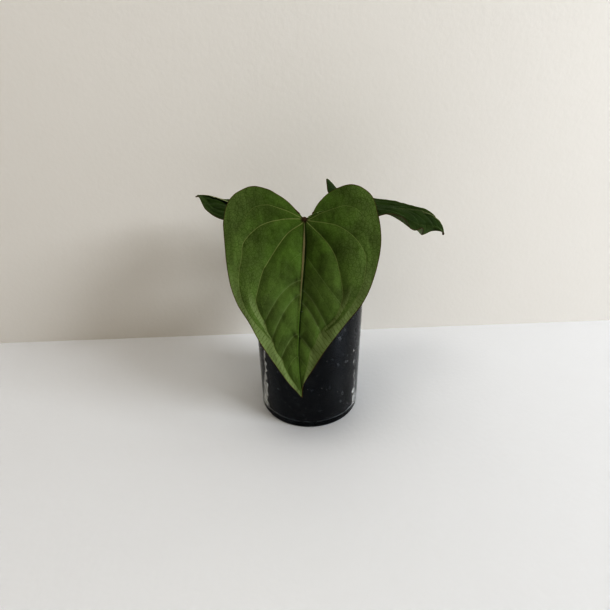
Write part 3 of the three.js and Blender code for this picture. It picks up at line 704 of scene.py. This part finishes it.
# how much fuller, and how much higher, the right leaf's far lobe is
RIGHT_LOBE = (5.5, 1.7)
MIDRIB_RUN = ((0, 0), (26, 0), (50, 0), (81, 0), (101, 0), (113, 0))
HALVES = {
    1: {
        "outline": (
            (-2.2, 4.5), (-10, 9), (-17.8, 18), (-20.2, 30.5), (-13, 41.5), (2, 45.8), (18, 46.8),
            (35.5, 43.5), (51, 37.2), (65.5, 27), (80, 17.4), (93.5, 9.4), (102.5, 3.4), (107, 1.1), (113, 0),
        ),
        # lines that the mesh follows from the stalk to a point of the outline
        "rays": (
            (11, ((9, 10), (24.5, 20.5), (46, 25), (69, 17.2))),
            (9, ((1, 11), (8, 26.5), (24, 37.2), (47, 33))),
            (3, ((-2.5, 6.5), (-5.5, 15), (-7, 23), (-12.5, 28.5))),
        ),
        # main veins, each with its half width at the stalk and at its end, and the depth of its valley
        "main": (
            (((0, 0), (2.7, 2.6), (10.2, 10.7), (17.5, 16.7), (25.3, 20.7), (38.7, 24.1), (47.9, 25.2),
              (58.9, 22.5), (69.3, 16.9), (75.3, 12.5), (87.5, 7.4), (95.6, 4.8), (104, 1.6)),
             0.3, 0.15, 3.2),
            (((0, 0), (1.1, 3.9), (2.5, 13.2), (4.6, 21), (10.6, 30), (17, 35.1), (22.1, 37.7), (28.4, 38.4),
              (40, 36.6), (52, 31.2), (63, 23.5), (69.3, 16.9)),
             0.3, 0.04, 1.4),
            (((0, 0), (-0.2, 3.9), (-3.6, 10.5), (-6.4, 19.5), (-7.6, 25.9), (-5, 33), (3, 38.5)),
             0.26, 0.03, 0.8),
        ),
        # side veins: where each leaves the midrib, its slope and bend out to the inner main vein, and how
        # deep its valley is
        "side": ((21, 1.3, 0, 0.35), (33, 0.8, 0.03, 0.15), (44, 0.55, 0.05, 1.1), (52, 0.6, 0.06, 1.25),
                 (63, 0.6, 0.06, 0.15), (73.5, 0.6, 0.064, 1.1), (87, 0.8, 0.08, 0.3)),
    },
    -1: {
        "outline": (
            (-3.4, 3.4), (-11.6, 11.4), (-18.2, 23.5), (-19.8, 35.5), (-13, 46.8), (1, 50.8), (17.5, 49.8),
            (35.5, 47), (52, 42), (65.5, 33), (79.5, 24.2), (93.5, 14), (103, 7.2), (109, 2.8), (113, 0),
        ),
        "rays": (
            (11, ((8, 9.5), (26, 22), (48, 28.8), (71, 21.8))),
            (9, ((0, 13), (8, 31.5), (23.5, 39.2), (45, 39.8))),
            (3, ((-2, 5.5), (-5.5, 13), (-9, 22), (-13.5, 29.5))),
        ),
        "main": (
            (((0, 0), (2.6, 1.4), (8.2, 9.8), (16.9, 16.1), (27.5, 22.4), (34, 25.6), (47.1, 28.7),
              (53.3, 28.9), (65, 24.5), (75.4, 19.2), (86.6, 13.2), (96, 7.9), (105, 2.6)),
             0.3, 0.16, 3.4),
            (((0, 0), (-0.1, 2.7), (0.1, 13.2), (3.3, 24.9), (9.3, 33.4), (15.8, 38.2), (23.7, 38.7),
              (33.5, 40.2), (43.3, 40), (54.7, 36.5), (65, 29.5), (75.4, 19.2)),
             0.3, 0.08, 1.5),
            (((0, 0), (-1.9, 4.1), (-5, 10.7), (-6.8, 16.7), (-8.5, 24), (-6, 33), (3, 38.5)),
             0.26, 0.03, 0.8),
        ),
        "side": ((20, 0.7, 0.03, 0.12), (38, 0.2, 0.042, 1.1), (47, 0.6, 0.06, 1.2), (60, 0.6, 0.07, 0.15),
                 (72, 0.6, 0.08, 1.1), (86, 0.7, 0.09, 0.3)),
    },
}


def between(values, u):
    """Value at u from 0 to 1 of the parabola through values at 0, a half and 1."""
    base, middle, tip = values
    return base + (4 * middle - 3 * base - tip) * u + 2 * (base + tip - 2 * middle) * u * u


def fan(half, rib, reach):
    """Flat point s, t and place on the outline, for ribs from the midrib 0 to the notch 4."""
    outline = np.array(half["outline"], float)
    last = len(outline) - 1
    ends = [last, *(end for end, _ in half["rays"]), 0]
    rays = [((0, 0), *through, outline[end]) for end, through in half["rays"]]
    runs = [MIDRIB_RUN, *rays, ((0, 0), outline[0])]
    sector = np.minimum(rib.astype(int), 3)
    share = rib - sector
    flat = np.zeros(rib.shape + (2,))
    place = np.zeros(rib.shape)
    for k in range(4):
        here = sector == k
        part = share[here][:, None]
        place[here] = ends[k] + (ends[k + 1] - ends[k]) * share[here]
        point = smooth_run(runs[k], reach[here]) * (1 - part) + smooth_run(runs[k + 1], reach[here]) * part
        straight = np.array(runs[k][-1]) * (1 - part) + np.array(runs[k + 1][-1]) * part
        edge = smooth_run(outline, place[here] / last)
        flat[here] = point + (reach[here] ** 2)[:, None] * (edge - straight)
    return flat[..., 0], flat[..., 1], place


def to_line(points, s, t):
    """Signed distance of flat places from a line, and how far along the line each is, from 0 to 1."""
    points = np.asarray(points, float)
    best = np.full(s.shape, 1e9)
    signed = np.zeros(s.shape)
    along = np.zeros(s.shape)
    lengths = np.linalg.norm(np.diff(points, axis=0), axis=1)
    walked = np.concatenate([[0], np.cumsum(lengths)])
    for i, length in enumerate(lengths):
        (ax, ay), (dx, dy) = points[i], (points[i + 1] - points[i]) / length
        run = np.clip((s - ax) * dx + (t - ay) * dy, 0, length)
        apart = np.hypot(s - ax - run * dx, t - ay - run * dy)
        nearer = apart < best
        best = np.where(nearer, apart, best)
        side = np.sign((t - ay) * dx - (s - ax) * dy)
        signed = np.where(nearer, apart * np.where(side == 0, 1, side), signed)
        along = np.where(nearer, (walked[i] + run) / walked[-1], along)
    return signed, along


def vein_lines(half):
    """Main and side veins of one half as lines of flat points, with widths and valley depths."""
    smooth = np.linspace(0, 1, 70)
    main = [(smooth_run(points, smooth), wide, thin, deep) for points, wide, thin, deep in half["main"]]
    inner = main[0][0]
    side = []
    for start, slope, bend, deep in half["side"]:
        out = np.linspace(0, 40, 100)
        line = np.stack([start + slope * out + bend * out * out, out], 1)
        edge = np.interp(line[:, 0], inner[:, 0], inner[:, 1])
        line = line[: max(np.argmax(line[:, 1] > edge - 0.2), 4)]
        side.append((line, *(width * deep for width in SIDE_VEIN_WIDTHS), deep))
        if deep >= 1:
            inner[:, 1] -= DRAWN_IN * np.exp(-np.abs(inner[:, 0] - line[-1, 0]) / DRAWN_REACH)
    return main, side


def bent(hang, hand, s, t, height):
    """Places in the air of flat places on a leaf, raised by a height off the upper face, in millimetres."""
    length = hang["length"]
    ahead, left, above = axes_at_stalk(hang)
    steps = np.linspace(-0.3, 1.1, 281)
    forward = np.clip(steps, 0, None)
    fall = np.radians(between(hang["droop"], forward) - hang["lift"] * 5 * np.clip(-steps, 0, None))
    sway = np.radians(between(hang["sway"], forward))

    def summed(rate):
        total = np.concatenate([[0], np.cumsum((rate[1:] + rate[:-1]) / 2 * (steps[1] - steps[0]) * length)])
        return total - np.interp(0, steps, total)

    u = s / length
    read = [
        np.interp(u, steps, values)[..., None]
        for values in (
            summed(np.cos(fall) * np.cos(sway)), summed(np.cos(fall) * np.sin(sway)), summed(-np.sin(fall)),
            fall, sway,
        )
    ]
    centre = np.array(hang["attach"]) + read[0] * ahead + read[1] * left + read[2] * above
    fall, sway = read[3], read[4]
    level = np.cos(sway) * ahead + np.sin(sway) * left
    side = np.cos(sway) * left - np.sin(sway) * ahead
    up = np.cos(fall) * above + np.sin(fall) * level
    twist = np.radians(hang["twist"] * np.clip(u, 0, 1))[..., None]
    side, up = np.cos(twist) * side + np.sin(twist) * up, np.cos(twist) * up - np.sin(twist) * side
    u = np.clip(u, -0.2, 1)
    fold = np.radians(np.where(hand > 0, between(hang["fold"][1], u), between(hang["fold"][-1], u)))
    curl = np.radians(np.where(hand > 0, between(hang["curl"][1], u), between(hang["curl"][-1], u)))
    curl = curl / (HALF_SHARE * length)
    curl = np.where(np.abs(curl) < 1e-7, 1e-7, curl)
    slope = fold + curl * t
    across = (np.sin(slope) - np.sin(fold)) / curl
    rise = (np.cos(fold) - np.cos(slope)) / curl
    bow = hang["bow"] * np.sin(np.pi * np.clip(u, 0, 1) ** 1.8) * np.exp(-((t / BOW_REACH) ** 2))
    out = np.cos(slope)[..., None] * up - (hand * np.sin(slope))[..., None] * side
    return centre + (hand * across + bow)[..., None] * side + rise[..., None] * up + height[..., None] * out


def blade_grid(hang, sectors, rings):
    """Half, rib, reach, s, t and place on the outline of every point of a blade's flat grid.

    Sectors are the grid's columns between the midrib, the rays and the notch, and rings its rows.
    """
    shares = [0.0]
    for k, count in enumerate(sectors):
        even = np.arange(1, count + 1) / count
        shares.extend(k + even - COLUMNS_CLOSER * np.sin(2 * np.pi * even))
    ribs = np.array([*reversed(shares), *shares[1:]])
    hands = np.array([1] * len(shares) + [-1] * (len(shares) - 1))
    rib, ring = np.meshgrid(ribs, np.arange(rings + 1))
    hand = np.meshgrid(hands, np.arange(rings + 1))[0]
    reach = (ring / rings) ** RINGS_CLOSER
    s, t, place = np.zeros(rib.shape), np.zeros(rib.shape), np.zeros(rib.shape)
    for side, half in HALVES.items():
        here = hand == side
        s[here], t[here], place[here] = fan(half, rib[here], reach[here])
        first = here & (ring == 0)
        s[first], t[first], _ = fan(half, rib[first], np.full(first.sum(), COLLAR_REACH))
    # The rings near the stalk move out, so that the first one closes round the stalk's joint
    scale = hang["length"] / FORM_LENGTH
    from_stalk = np.hypot(s, t)
    grow = np.hypot(np.where(ring == 0, 0, from_stalk), COLLAR / scale) / from_stalk
    return hand, rib, reach, s * grow, t * grow, place


def vein_valleys(hand, rib, s, t):
    """Depth of the valleys at flat places, and how far each vein is from them and its half width there."""
    valley = np.zeros(s.shape)
    veins = {}
    for side, half in HALVES.items():
        here = (hand == side) | (rib == 0)
        hs, ht = s[here], t[here]
        main, side_veins = vein_lines(half)
        along_midrib = (1 - 0.6 * smoothstep(hs, 30, 105)) * smoothstep(hs, -6, 4)
        sunk = (MIDRIB_VALLEY[side] * np.exp(-ht / MIDRIB_SLOPE) * along_midrib) ** VALLEY_MERGE
        near = []
        for line, wide, thin, deep in main:
            signed, along = to_line(line, hs, ht)
            near.append((signed, wide + (thin - wide) * along))
            slope = np.exp(-np.sqrt(signed ** 2 + 0.2) / MAIN_SLOPE)
            sunk += (deep * slope * (1 - 0.55 * along)) ** VALLEY_MERGE
        veins[side, "main"] = near
        valley[here] = sunk ** (1 / VALLEY_MERGE)
        near = []
        for line, wide, thin, deep in side_veins:
            signed, along = to_line(line, hs, ht)
            near.append((signed, wide + (thin - wide) * along))
            slope = np.exp(-np.sqrt(signed ** 2 + 0.15) / SIDE_SLOPE)
            valley[here] += SIDE_VALLEY * deep * slope * smoothstep(along, 0, 0.12)
        veins[side, "side"] = near
        valley[here] *= smoothstep(np.hypot(hs, ht), 0, 16)
    return valley, veins


def write_maps(piece, hand, rib, s, t, veins):
    """Puts the maps that the materials read on a blade: its flat places, its veins and its margin.

    Each face reads the vein that is nearest to it, so that a vein is drawn sharp where it crosses the face.
    """
    corners = np.zeros(len(piece.data.loops), int)
    piece.data.loops.foreach_get("vertex_index", corners)
    faces = corners.reshape(-1, 4)
    flat_hand = hand.reshape(-1)
    face_hand = np.sign(flat_hand[faces].sum(1) - 0.5).astype(int)

    def write_map(title, first, second):
        layer = piece.data.uv_layers.new(name=title)
        values = np.stack([first, second], 1).astype(np.float32)
        layer.data.foreach_set("uv", (values / MAP_UNIT).reshape(-1))

    flat_s, flat_t = s.reshape(-1), (t * hand).reshape(-1)
    while piece.data.uv_layers:
        piece.data.uv_layers.remove(piece.data.uv_layers[0])
    write_map("blade", flat_s[corners], flat_t[corners])
    for kind in ("main", "side"):
        distance = np.zeros(faces.shape)
        width = np.zeros(faces.shape)
        for side in HALVES:
            lines = []
            here = ((hand == side) | (rib == 0)).reshape(-1)
            for signed, wide in veins[side, kind]:
                whole = np.full((2, hand.size), FAR_AWAY)
                whole[0, here] = signed
                whole[1, here] = wide
                lines.append(whole[:, faces])
            stack = np.array(lines)
            nearest = np.abs(stack[:, 0]).mean(-1).argmin(0)
            mine = face_hand == side
            index = np.arange(len(faces))
            distance[mine] = stack[nearest, 0, index][mine]
            width[mine] = stack[nearest, 1, index][mine]
        write_map(f"{kind}_vein", distance.reshape(-1), width.reshape(-1))
    margin = np.full(hand.size, FAR_AWAY)
    strip = np.zeros(hand.size)
    for side, half in HALVES.items():
        here = flat_hand == side
        line = smooth_run(half["outline"], np.linspace(0, 1, 200))
        signed, along = to_line(line, flat_s[here], np.abs(flat_t[here]))
        margin[here] = np.abs(signed)
        strip[here] = along * MARGIN_RUN
    write_map("margin", strip[corners], margin[corners])


def leaf(name, hang, sectors, rings, pleats=None, lobe=(0, 0)):
    """Blade of one leaf with its maps, its underside on the second material slot.

    Pleats fold the margin of half -1, and lobe is how much fuller and higher the lobe of half 1 is.
    """
    hand, rib, reach, s, t, place = blade_grid(hang, sectors, rings)
    bpy.ops.object.select_all(action="DESELECT")
    bpy.ops.mesh.primitive_grid_add(x_subdivisions=hand.shape[1] - 1, y_subdivisions=rings, size=1)
    piece = new_piece(name)

    # Relief in the flat form's millimetres
    def rough(a, b):
        broad = noise.noise(Vector((a * 0.11, b * 0.16, hang["length"])))
        return broad + 0.4 * noise.noise(Vector((a * 0.3, b * 0.4, 7)))

    valley, veins = vein_valleys(hand, rib, s, t)
    uneven = [rough(a, b) for a, b in zip(s.reshape(-1), (t * hand).reshape(-1))]
    valley += UNEVEN_HEIGHT * np.array(uneven).reshape(s.shape) * smoothstep(np.hypot(s, t), 2, 14)
    wave = np.sin(place * 2.6 + 1 - hand)
    lift = RUFFLE_HEIGHT * reach ** 4 * wave * smoothstep(rib, 0, 0.6) - valley
    ridge = np.exp(-((t / MIDRIB_HALF_WIDTH) ** 2))
    lift += MIDRIB_HEIGHT * ridge * (1 - smoothstep(s, 20, 100)) * smoothstep(s, 1, 5)
    if pleats:
        run = smooth_run(pleats, np.linspace(0, 1, 200))
        lift -= np.where(hand < 0, np.interp(place, run[:, 0], run[:, 1]) * reach ** 2.5, 0)
    fuller, raised = lobe
    lobe_reach = np.where(hand > 0, smoothstep(-s, 2, 14), 0)
    back = fuller * lobe_reach * np.exp(-(((t - 14) / 9) ** 2))
    lift += raised * lobe_reach

    scale = hang["length"] / FORM_LENGTH
    points = bent(hang, hand, (s - back) * scale, t * scale, lift * scale) * MM
    piece.data.vertices.foreach_set("co", points.reshape(-1))
    piece.data.update()
    write_maps(piece, hand, rib, s, t, veins)
    dress(piece, None, None)
    finish_modifier(piece, "SOLIDIFY", thickness=BLADE_THICKNESS, offset=-1, material_offset=1)
    bpy.ops.object.shade_smooth_by_angle(angle=math.radians(60))
    return piece


front_leaf = leaf("blade_front", FRONT_HANG, (58, 30, 62, 34), 118)
left_leaf = leaf("blade_left", LEFT_HANG, (40, 22, 46, 26), 84)
right_leaf = leaf("blade_right", RIGHT_HANG, (40, 22, 46, 26), 84, RIGHT_PLEATS, RIGHT_LOBE)


def shared(name, inputs, outputs):
    """A shader node group with its named sockets: the group, its input node and its output node."""
    group = bpy.data.node_groups.new(name, "ShaderNodeTree")
    for title, kind in inputs.items():
        group.interface.new_socket(title, in_out="INPUT", socket_type=f"NodeSocket{kind}")
    for title, kind in outputs.items():
        group.interface.new_socket(title, in_out="OUTPUT", socket_type=f"NodeSocket{kind}")
    return group, group.nodes.new("NodeGroupInput").outputs, group.nodes.new("NodeGroupOutput").inputs


# a vein drawn as a fine line inside a softer band, from a map of distance and half width
vein_group, taken, given = shared("vein_line", {"Map": "Vector"}, {"Line": "Float", "Band": "Float"})
parts = node(vein_group, "ShaderNodeSeparateXYZ", {"Vector": taken["Map"]}).outputs
ratio = maths(vein_group, "DIVIDE", maths(vein_group, "ABSOLUTE", parts["X"]), parts["Y"])
vein_group.links.new(span(vein_group, ratio, 0.7, 1.3, 1, 0), given["Line"])
vein_group.links.new(span(vein_group, ratio, 1.0, 5.0, 1, 0), given["Band"])

# the finest net of veins, the rungs between the inner main vein and the margin, and small blemishes
net_group, taken, given = shared(
    "leaf_net", {"Flat": "Vector", "Margin": "Vector", "Vein": "Vector"},
    {title: "Float" for title in ("Net", "Rungs", "Strip", "Blotch", "Fleck", "Edge", "Grain")},
)
flat = node(net_group, "ShaderNodeVectorMath", {0: taken["Flat"], 3: MAP_UNIT}, operation="SCALE").outputs[0]
bend = node(net_group, "ShaderNodeTexNoise", {"Vector": flat, "Scale": 0.35, "Detail": 2}).outputs["Color"]
bent_flat = node(
    net_group, "ShaderNodeVectorMath", {0: bend, 1: (1.3, 1.3, 1.3), 2: flat}, operation="MULTIPLY_ADD"
).outputs[0]
coarse = node(
    net_group, "ShaderNodeTexVoronoi", {"Vector": bent_flat, "Scale": 0.42}, feature="DISTANCE_TO_EDGE"
).outputs["Distance"]
fine = node(
    net_group, "ShaderNodeTexVoronoi", {"Vector": bent_flat, "Scale": 1.15}, feature="DISTANCE_TO_EDGE"
).outputs["Distance"]
coarse_net = span(net_group, coarse, 0.02, 0.11, 1, 0)
fine_net = span(net_group, fine, 0.02, 0.16, 1, 0)
both = maths(net_group, "MAXIMUM", coarse_net, maths(net_group, "MULTIPLY", fine_net, 0.55))
net_group.links.new(both, given["Net"])
edge_parts = node(net_group, "ShaderNodeSeparateXYZ", {"Vector": taken["Margin"]}).outputs
along = maths(net_group, "MULTIPLY", edge_parts["X"], MAP_UNIT)
inward = maths(net_group, "MULTIPLY", edge_parts["Y"], MAP_UNIT)
jitter = node(net_group, "ShaderNodeTexNoise", {"Vector": flat, "Scale": 0.3, "Detail": 1}).outputs["Fac"]
skew = maths(net_group, "MULTIPLY_ADD", inward, 0.35, maths(net_group, "MULTIPLY", jitter, 2.5))
run = maths(net_group, "MULTIPLY", maths(net_group, "ADD", along, skew), 1.35)
beat = maths(net_group, "ABSOLUTE", maths(net_group, "SINE", run))
rungs = span(net_group, beat, 0.04, 0.3, 1, 0)
flat_parts = node(net_group, "ShaderNodeSeparateXYZ", {"Vector": flat}).outputs
outside = node(net_group, "ShaderNodeSeparateXYZ", {"Vector": taken["Vein"]}).outputs["X"]
near_rim = span(net_group, inward, 8, 13, 1, 0)
near_rim = maths(net_group, "MULTIPLY", near_rim, span(net_group, outside, -0.002, 0.006))
strip = maths(net_group, "MULTIPLY", near_rim, span(net_group, flat_parts["X"], 20, 62))
net_group.links.new(strip, given["Strip"])
net_group.links.new(maths(net_group, "MULTIPLY", rungs, strip), given["Rungs"])
blotch = node(net_group, "ShaderNodeTexNoise", {"Vector": flat, "Scale": 0.06, "Detail": 4}).outputs["Fac"]
net_group.links.new(blotch, given["Blotch"])
spots = node(net_group, "ShaderNodeTexVoronoi", {"Vector": flat, "Scale": 0.55})
pick = node(net_group, "ShaderNodeSeparateColor", {"Color": spots.outputs["Color"]}).outputs["Red"]
fleck = span(net_group, spots.outputs["Distance"], 0.08, 0.15, 1, 0)
fleck = maths(net_group, "MULTIPLY", fleck, span(net_group, pick, 0.968, 0.972))
net_group.links.new(fleck, given["Fleck"])
net_group.links.new(span(net_group, inward, 0.15, 0.45, 1, 0), given["Edge"])
grain = node(net_group, "ShaderNodeTexNoise", {"Vector": flat, "Scale": 2.6, "Detail": 5}).outputs["Fac"]
net_group.links.new(grain, given["Grain"])


def leaf_maps(tree):
    """The vein and net groups fed with the blade's maps, and the flat form's s and t."""
    titles = ("blade", "margin", "main_vein", "side_vein")
    uv = {title: node(tree, "ShaderNodeUVMap", uv_map=title).outputs["UV"] for title in titles}
    main = node(tree, "ShaderNodeGroup", {"Map": uv["main_vein"]}, node_tree=vein_group).outputs
    side = node(tree, "ShaderNodeGroup", {"Map": uv["side_vein"]}, node_tree=vein_group).outputs
    net = node(
        tree, "ShaderNodeGroup", {"Flat": uv["blade"], "Margin": uv["margin"], "Vein": uv["main_vein"]},
        node_tree=net_group,
    ).outputs
    flat = node(tree, "ShaderNodeSeparateXYZ", {"Vector": uv["blade"]}).outputs
    s = maths(tree, "MULTIPLY", flat["X"], MAP_UNIT)
    t = maths(tree, "MULTIPLY", flat["Y"], MAP_UNIT)
    return main, side, net, s, t


def leaf_top(name, deep, bright, vein, line, rib, net_tint, streaks):
    """The velvety upper face, from its greens, the colours of its veins and the strength of its net and of
    its long pale streaks."""
    material, tree, shader, place = new_material(name)
    main, side, net, s, t = leaf_maps(tree)
    green = blend(tree, span(tree, net["Blotch"], 0.32, 0.68), deep, bright)
    # a darker green, used only for the painted shade beside the midrib
    painted_shade_green = tuple(value * 0.25 for value in deep[:3]) + (1,)
    where = node(tree, "ShaderNodeCombineXYZ", {"X": s, "Y": t}).outputs[0]
    out = node(tree, "ShaderNodeVectorMath", {0: where}, operation="LENGTH").outputs["Value"]
    long = node(tree, "ShaderNodeMapping", {"Vector": where, "Scale": (0.02, 0.55, 1)}).outputs["Vector"]
    lines = node(tree, "ShaderNodeTexNoise", {"Vector": long, "Scale": 1, "Detail": 3}).outputs["Fac"]
    green = blend(tree, span(tree, lines, 0.45, 0.7, 0, streaks), green, vein)
    rim = span(tree, maths(tree, "ABSOLUTE", t), 12, 40, 0.35, 1)
    cell = maths(tree, "MULTIPLY", maths(tree, "SUBTRACT", 1, net["Net"]), rim)
    green = blend(tree, maths(tree, "MULTIPLY", cell, net_tint), green, vein)
    velvet = maths(tree, "MULTIPLY", net["Grain"], span(tree, net["Grain"], 0.5, 0.75, 0, 0.5))
    green = blend(tree, velvet, green, vein)
    green = blend(tree, span(tree, out, 22, 50, 0, 0.16), green, vein)
    green = blend(tree, maths(tree, "MULTIPLY", net["Strip"], 0.78), green, vein)
    green = blend(tree, maths(tree, "MULTIPLY", net["Rungs"], 0.7), green, deep)
    green = blend(tree, maths(tree, "MULTIPLY", maths(tree, "MULTIPLY", net["Net"], rim), 0.25), green, deep)
    green = blend(tree, maths(tree, "MULTIPLY", side["Band"], 0.14), green, vein)
    green = blend(tree, maths(tree, "MULTIPLY", side["Line"], 0.42), green, vein)
    fading = maths(tree, "MULTIPLY", main["Line"], span(tree, out, 12, 62, 0.55, 0.38))
    fading = maths(tree, "MULTIPLY", fading, span(tree, t, 1, 6, 1, 0.6))
    green = blend(tree, fading, green, line)
    apart = maths(tree, "DIVIDE", maths(tree, "ABSOLUTE", t), span(tree, s, 0, 100, 1, 0.45))
    # painted shade: a dark line on one side of the midrib, standing in for the shadow its ridge casts on the
    # blade
    painted_midrib_shade = maths(tree, "MULTIPLY", span(tree, t, 1.3, 0.5, 0, 0.75), span(tree, t, 0.1, 0.3))
    green = blend(tree, maths(tree, "MULTIPLY", painted_midrib_shade, span(tree, s, 60, 100, 1, 0.4)), green, painted_shade_green)
    ridge = span(tree, apart, 0.06, 0.18, 1, 0)
    tan = blend(tree, span(tree, s, 42, 64), rib, bright)
    green = blend(tree, maths(tree, "MULTIPLY", ridge, 0.85), green, tan)
    green = blend(tree, span(tree, out, 1.2, 3.4, 0.85, 0), green, (0.03, 0.011, 0.007, 1))
    green = blend(tree, maths(tree, "MULTIPLY", net["Fleck"], 0.8), green, (0.02, 0.014, 0.008, 1))
    green = blend(tree, net["Edge"], green, (0.085, 0.05, 0.026, 1))
    tree.links.new(green, shader.inputs["Base Color"])
    tree.links.new(span(tree, net["Grain"], 0.3, 0.7, 0.5, 0.62), shader.inputs["Roughness"])
    shader.inputs["Specular IOR Level"].default_value = 0.11
    relief = net["Grain"]
    for mask, height in ((net["Net"], -0.6), (net["Rungs"], -0.9), (side["Line"], -1), (main["Line"], -1.6)):
        relief = maths(tree, "MULTIPLY_ADD", mask, height, relief)
    raised = node(tree, "ShaderNodeBump", {"Height": relief, "Strength": 0.55, "Distance": 0.00022})
    tree.links.new(raised.outputs["Normal"], shader.inputs["Normal"])
    return material


def leaf_under(name, pale, vein):
    """The paler, smoother underside with its veins standing out."""
    material, tree, shader, place = new_material(name)
    main, side, net, s, t = leaf_maps(tree)
    green = blend(tree, span(tree, net["Blotch"], 0.3, 0.7), pale, (0.13, 0.17, 0.07, 1))
    for mask, share in ((net["Net"], 0.3), (net["Rungs"], 0.4), (side["Line"], 0.7), (main["Line"], 0.9)):
        green = blend(tree, maths(tree, "MULTIPLY", mask, share), green, vein)
    ridge = span(tree, maths(tree, "ABSOLUTE", t), 0.6, 1.1, 1, 0)
    green = blend(tree, ridge, green, vein)
    green = blend(tree, net["Edge"], green, (0.075, 0.04, 0.022, 1))
    tree.links.new(green, shader.inputs["Base Color"])
    tree.links.new(span(tree, net["Grain"], 0.3, 0.7, 0.38, 0.5), shader.inputs["Roughness"])
    relief = net["Grain"]
    for mask, height in (
        (net["Net"], 0.4), (net["Rungs"], 0.8), (side["Line"], 1.5), (main["Line"], 3), (ridge, 4)
    ):
        relief = maths(tree, "MULTIPLY_ADD", mask, height, relief)
    raised = node(tree, "ShaderNodeBump", {"Height": relief, "Strength": 0.6, "Distance": 0.0003})
    tree.links.new(raised.outputs["Normal"], shader.inputs["Normal"])
    return material


young_top = leaf_top(
    "young_leaf_top", (0.066, 0.103, 0.022, 1), (0.107, 0.176, 0.038, 1), (0.24, 0.30, 0.15, 1),
    (0.36, 0.38, 0.20, 1), (0.24, 0.205, 0.13, 1), 0.26, 0.0,
)
old_top = leaf_top(
    "old_leaf_top", (0.017, 0.037, 0.006, 1), (0.029, 0.06, 0.009, 1), (0.06, 0.092, 0.027, 1),
    (0.07, 0.10, 0.035, 1), (0.075, 0.09, 0.035, 1), 0.12, 0.5,
)
young_under = leaf_under("young_leaf_under", (0.17, 0.23, 0.09, 1), (0.34, 0.37, 0.19, 1))
old_under = leaf_under("old_leaf_under", (0.10, 0.155, 0.065, 1), (0.22, 0.25, 0.13, 1))
for piece, side, top, under, slot in (
    (front_leaf, "front", young_top, young_under, "young_leaf"),
    (left_leaf, "left", old_top, old_under, "old_leaf"),
    (right_leaf, "right", old_top, old_under, "old_leaf"),
):
    piece.data.materials[0] = top
    piece.data.materials[1] = under
    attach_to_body(piece, "root")
    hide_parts(f"leaf_{side}")


# Studio
# A pale satin table against a pale wall. The wall is clear from behind, so that the plant can be seen from
# the back too. A soft window light comes from the right and a little from the front.
ROOM_SIZE = 6
ROOM_FILL = 0.25
WALL_TURN = 2.66
WALL_DISTANCE = 110 * MM
bpy.ops.object.select_all(action="DESELECT")
bpy.ops.mesh.primitive_plane_add(size=ROOM_SIZE, location=(0, 0, 0))
table = new_piece("table")
bpy.ops.mesh.primitive_plane_add(
    size=ROOM_SIZE, location=(0, WALL_DISTANCE, ROOM_SIZE / 2),
    rotation=(math.pi / 2, 0, math.radians(WALL_TURN)),
)
wall = new_piece("wall")
for piece, name, colour, roughness in (
    (table, "pale_table", (0.725, 0.745, 0.78, 1), 0.42),
    (wall, "pale_wall", (0.80, 0.79, 0.77, 1), 0.75),
):
    material, tree, shader, place = new_material(name)
    soft = node(tree, "ShaderNodeTexNoise", {"Vector": place, "Scale": 3, "Detail": 4}).outputs["Fac"]
    darker = tuple(value * 0.95 for value in colour[:3]) + (1,)
    tree.links.new(blend(tree, soft, colour, darker), shader.inputs["Base Color"])
    shader.inputs["Roughness"].default_value = roughness
    plaster = node(tree, "ShaderNodeTexNoise", {"Vector": place, "Scale": 260, "Detail": 3}).outputs["Fac"]
    uneven = node(tree, "ShaderNodeBump", {"Height": plaster, "Strength": 0.12, "Distance": 0.001})
    tree.links.new(uneven.outputs["Normal"], shader.inputs["Normal"])
    dress(piece, material)
seen_from_behind = node(tree, "ShaderNodeNewGeometry").outputs["Backfacing"]
tree.links.new(maths(tree, "SUBTRACT", 1, seen_from_behind), shader.inputs["Alpha"])


def area_light(name, place, aim, size, power, colour):
    """A square soft light at a place, turned to its aim."""
    light = bpy.data.lights.new(name, "AREA")
    light.shape = "SQUARE"
    light.size = size
    light.energy = power
    light.color = colour
    lamp = bpy.data.objects.new(name, light)
    lamp.location = place
    lamp.rotation_euler = (Vector(aim) - Vector(place)).to_track_quat("-Z", "Y").to_euler()
    bpy.context.collection.objects.link(lamp)


area_light("window_light", (2.05, -0.91, 1.14), (0, 0, 0.09), 1.0, 29, (0.94, 0.97, 1.0))
area_light("ceiling_light", (-0.3, 0, 1.6), (0, 0.05, 0), 1.1, 7, (1.0, 0.955, 0.89))
world = bpy.data.worlds.new("room")
world.use_nodes = True
backdrop = world.node_tree.nodes["Background"]
seen = world.node_tree.nodes.new("ShaderNodeLightPath").outputs["Is Camera Ray"]
shade = blend(world.node_tree, seen, (1.0, 0.88, 0.71, 1), (2.1, 2.05, 2.0, 1))
world.node_tree.links.new(shade, backdrop.inputs["Color"])
backdrop.inputs["Strength"].default_value = ROOM_FILL
bpy.context.scene.world = world
bpy.context.scene.view_settings.view_transform = "Standard"
bpy.context.scene.view_settings.look = "Very High Contrast"


# Camera
# In front of the plant, just above its leaves and looking down on it, as in the photograph.
CAMERA_PLACE = (-2.73 * MM, -211.7 * MM, 173.5 * MM)
CAMERA_DOWN = 23.34
CAMERA_ROLL = -0.888
FOCAL_LENGTH = 17.94
SENSOR_WIDTH = 36
lens = bpy.data.cameras.new("camera")
lens.sensor_width = SENSOR_WIDTH
lens.lens = FOCAL_LENGTH
lens.clip_start = 10 * MM
camera = bpy.data.objects.new("camera", lens)
tilt = Matrix.Rotation(math.radians(90 - CAMERA_DOWN), 4, "X")
roll = Matrix.Rotation(math.radians(CAMERA_ROLL), 4, "Z")
camera.matrix_world = Matrix.Translation(CAMERA_PLACE) @ tilt @ roll
bpy.context.collection.objects.link(camera)
bpy.context.scene.camera = camera
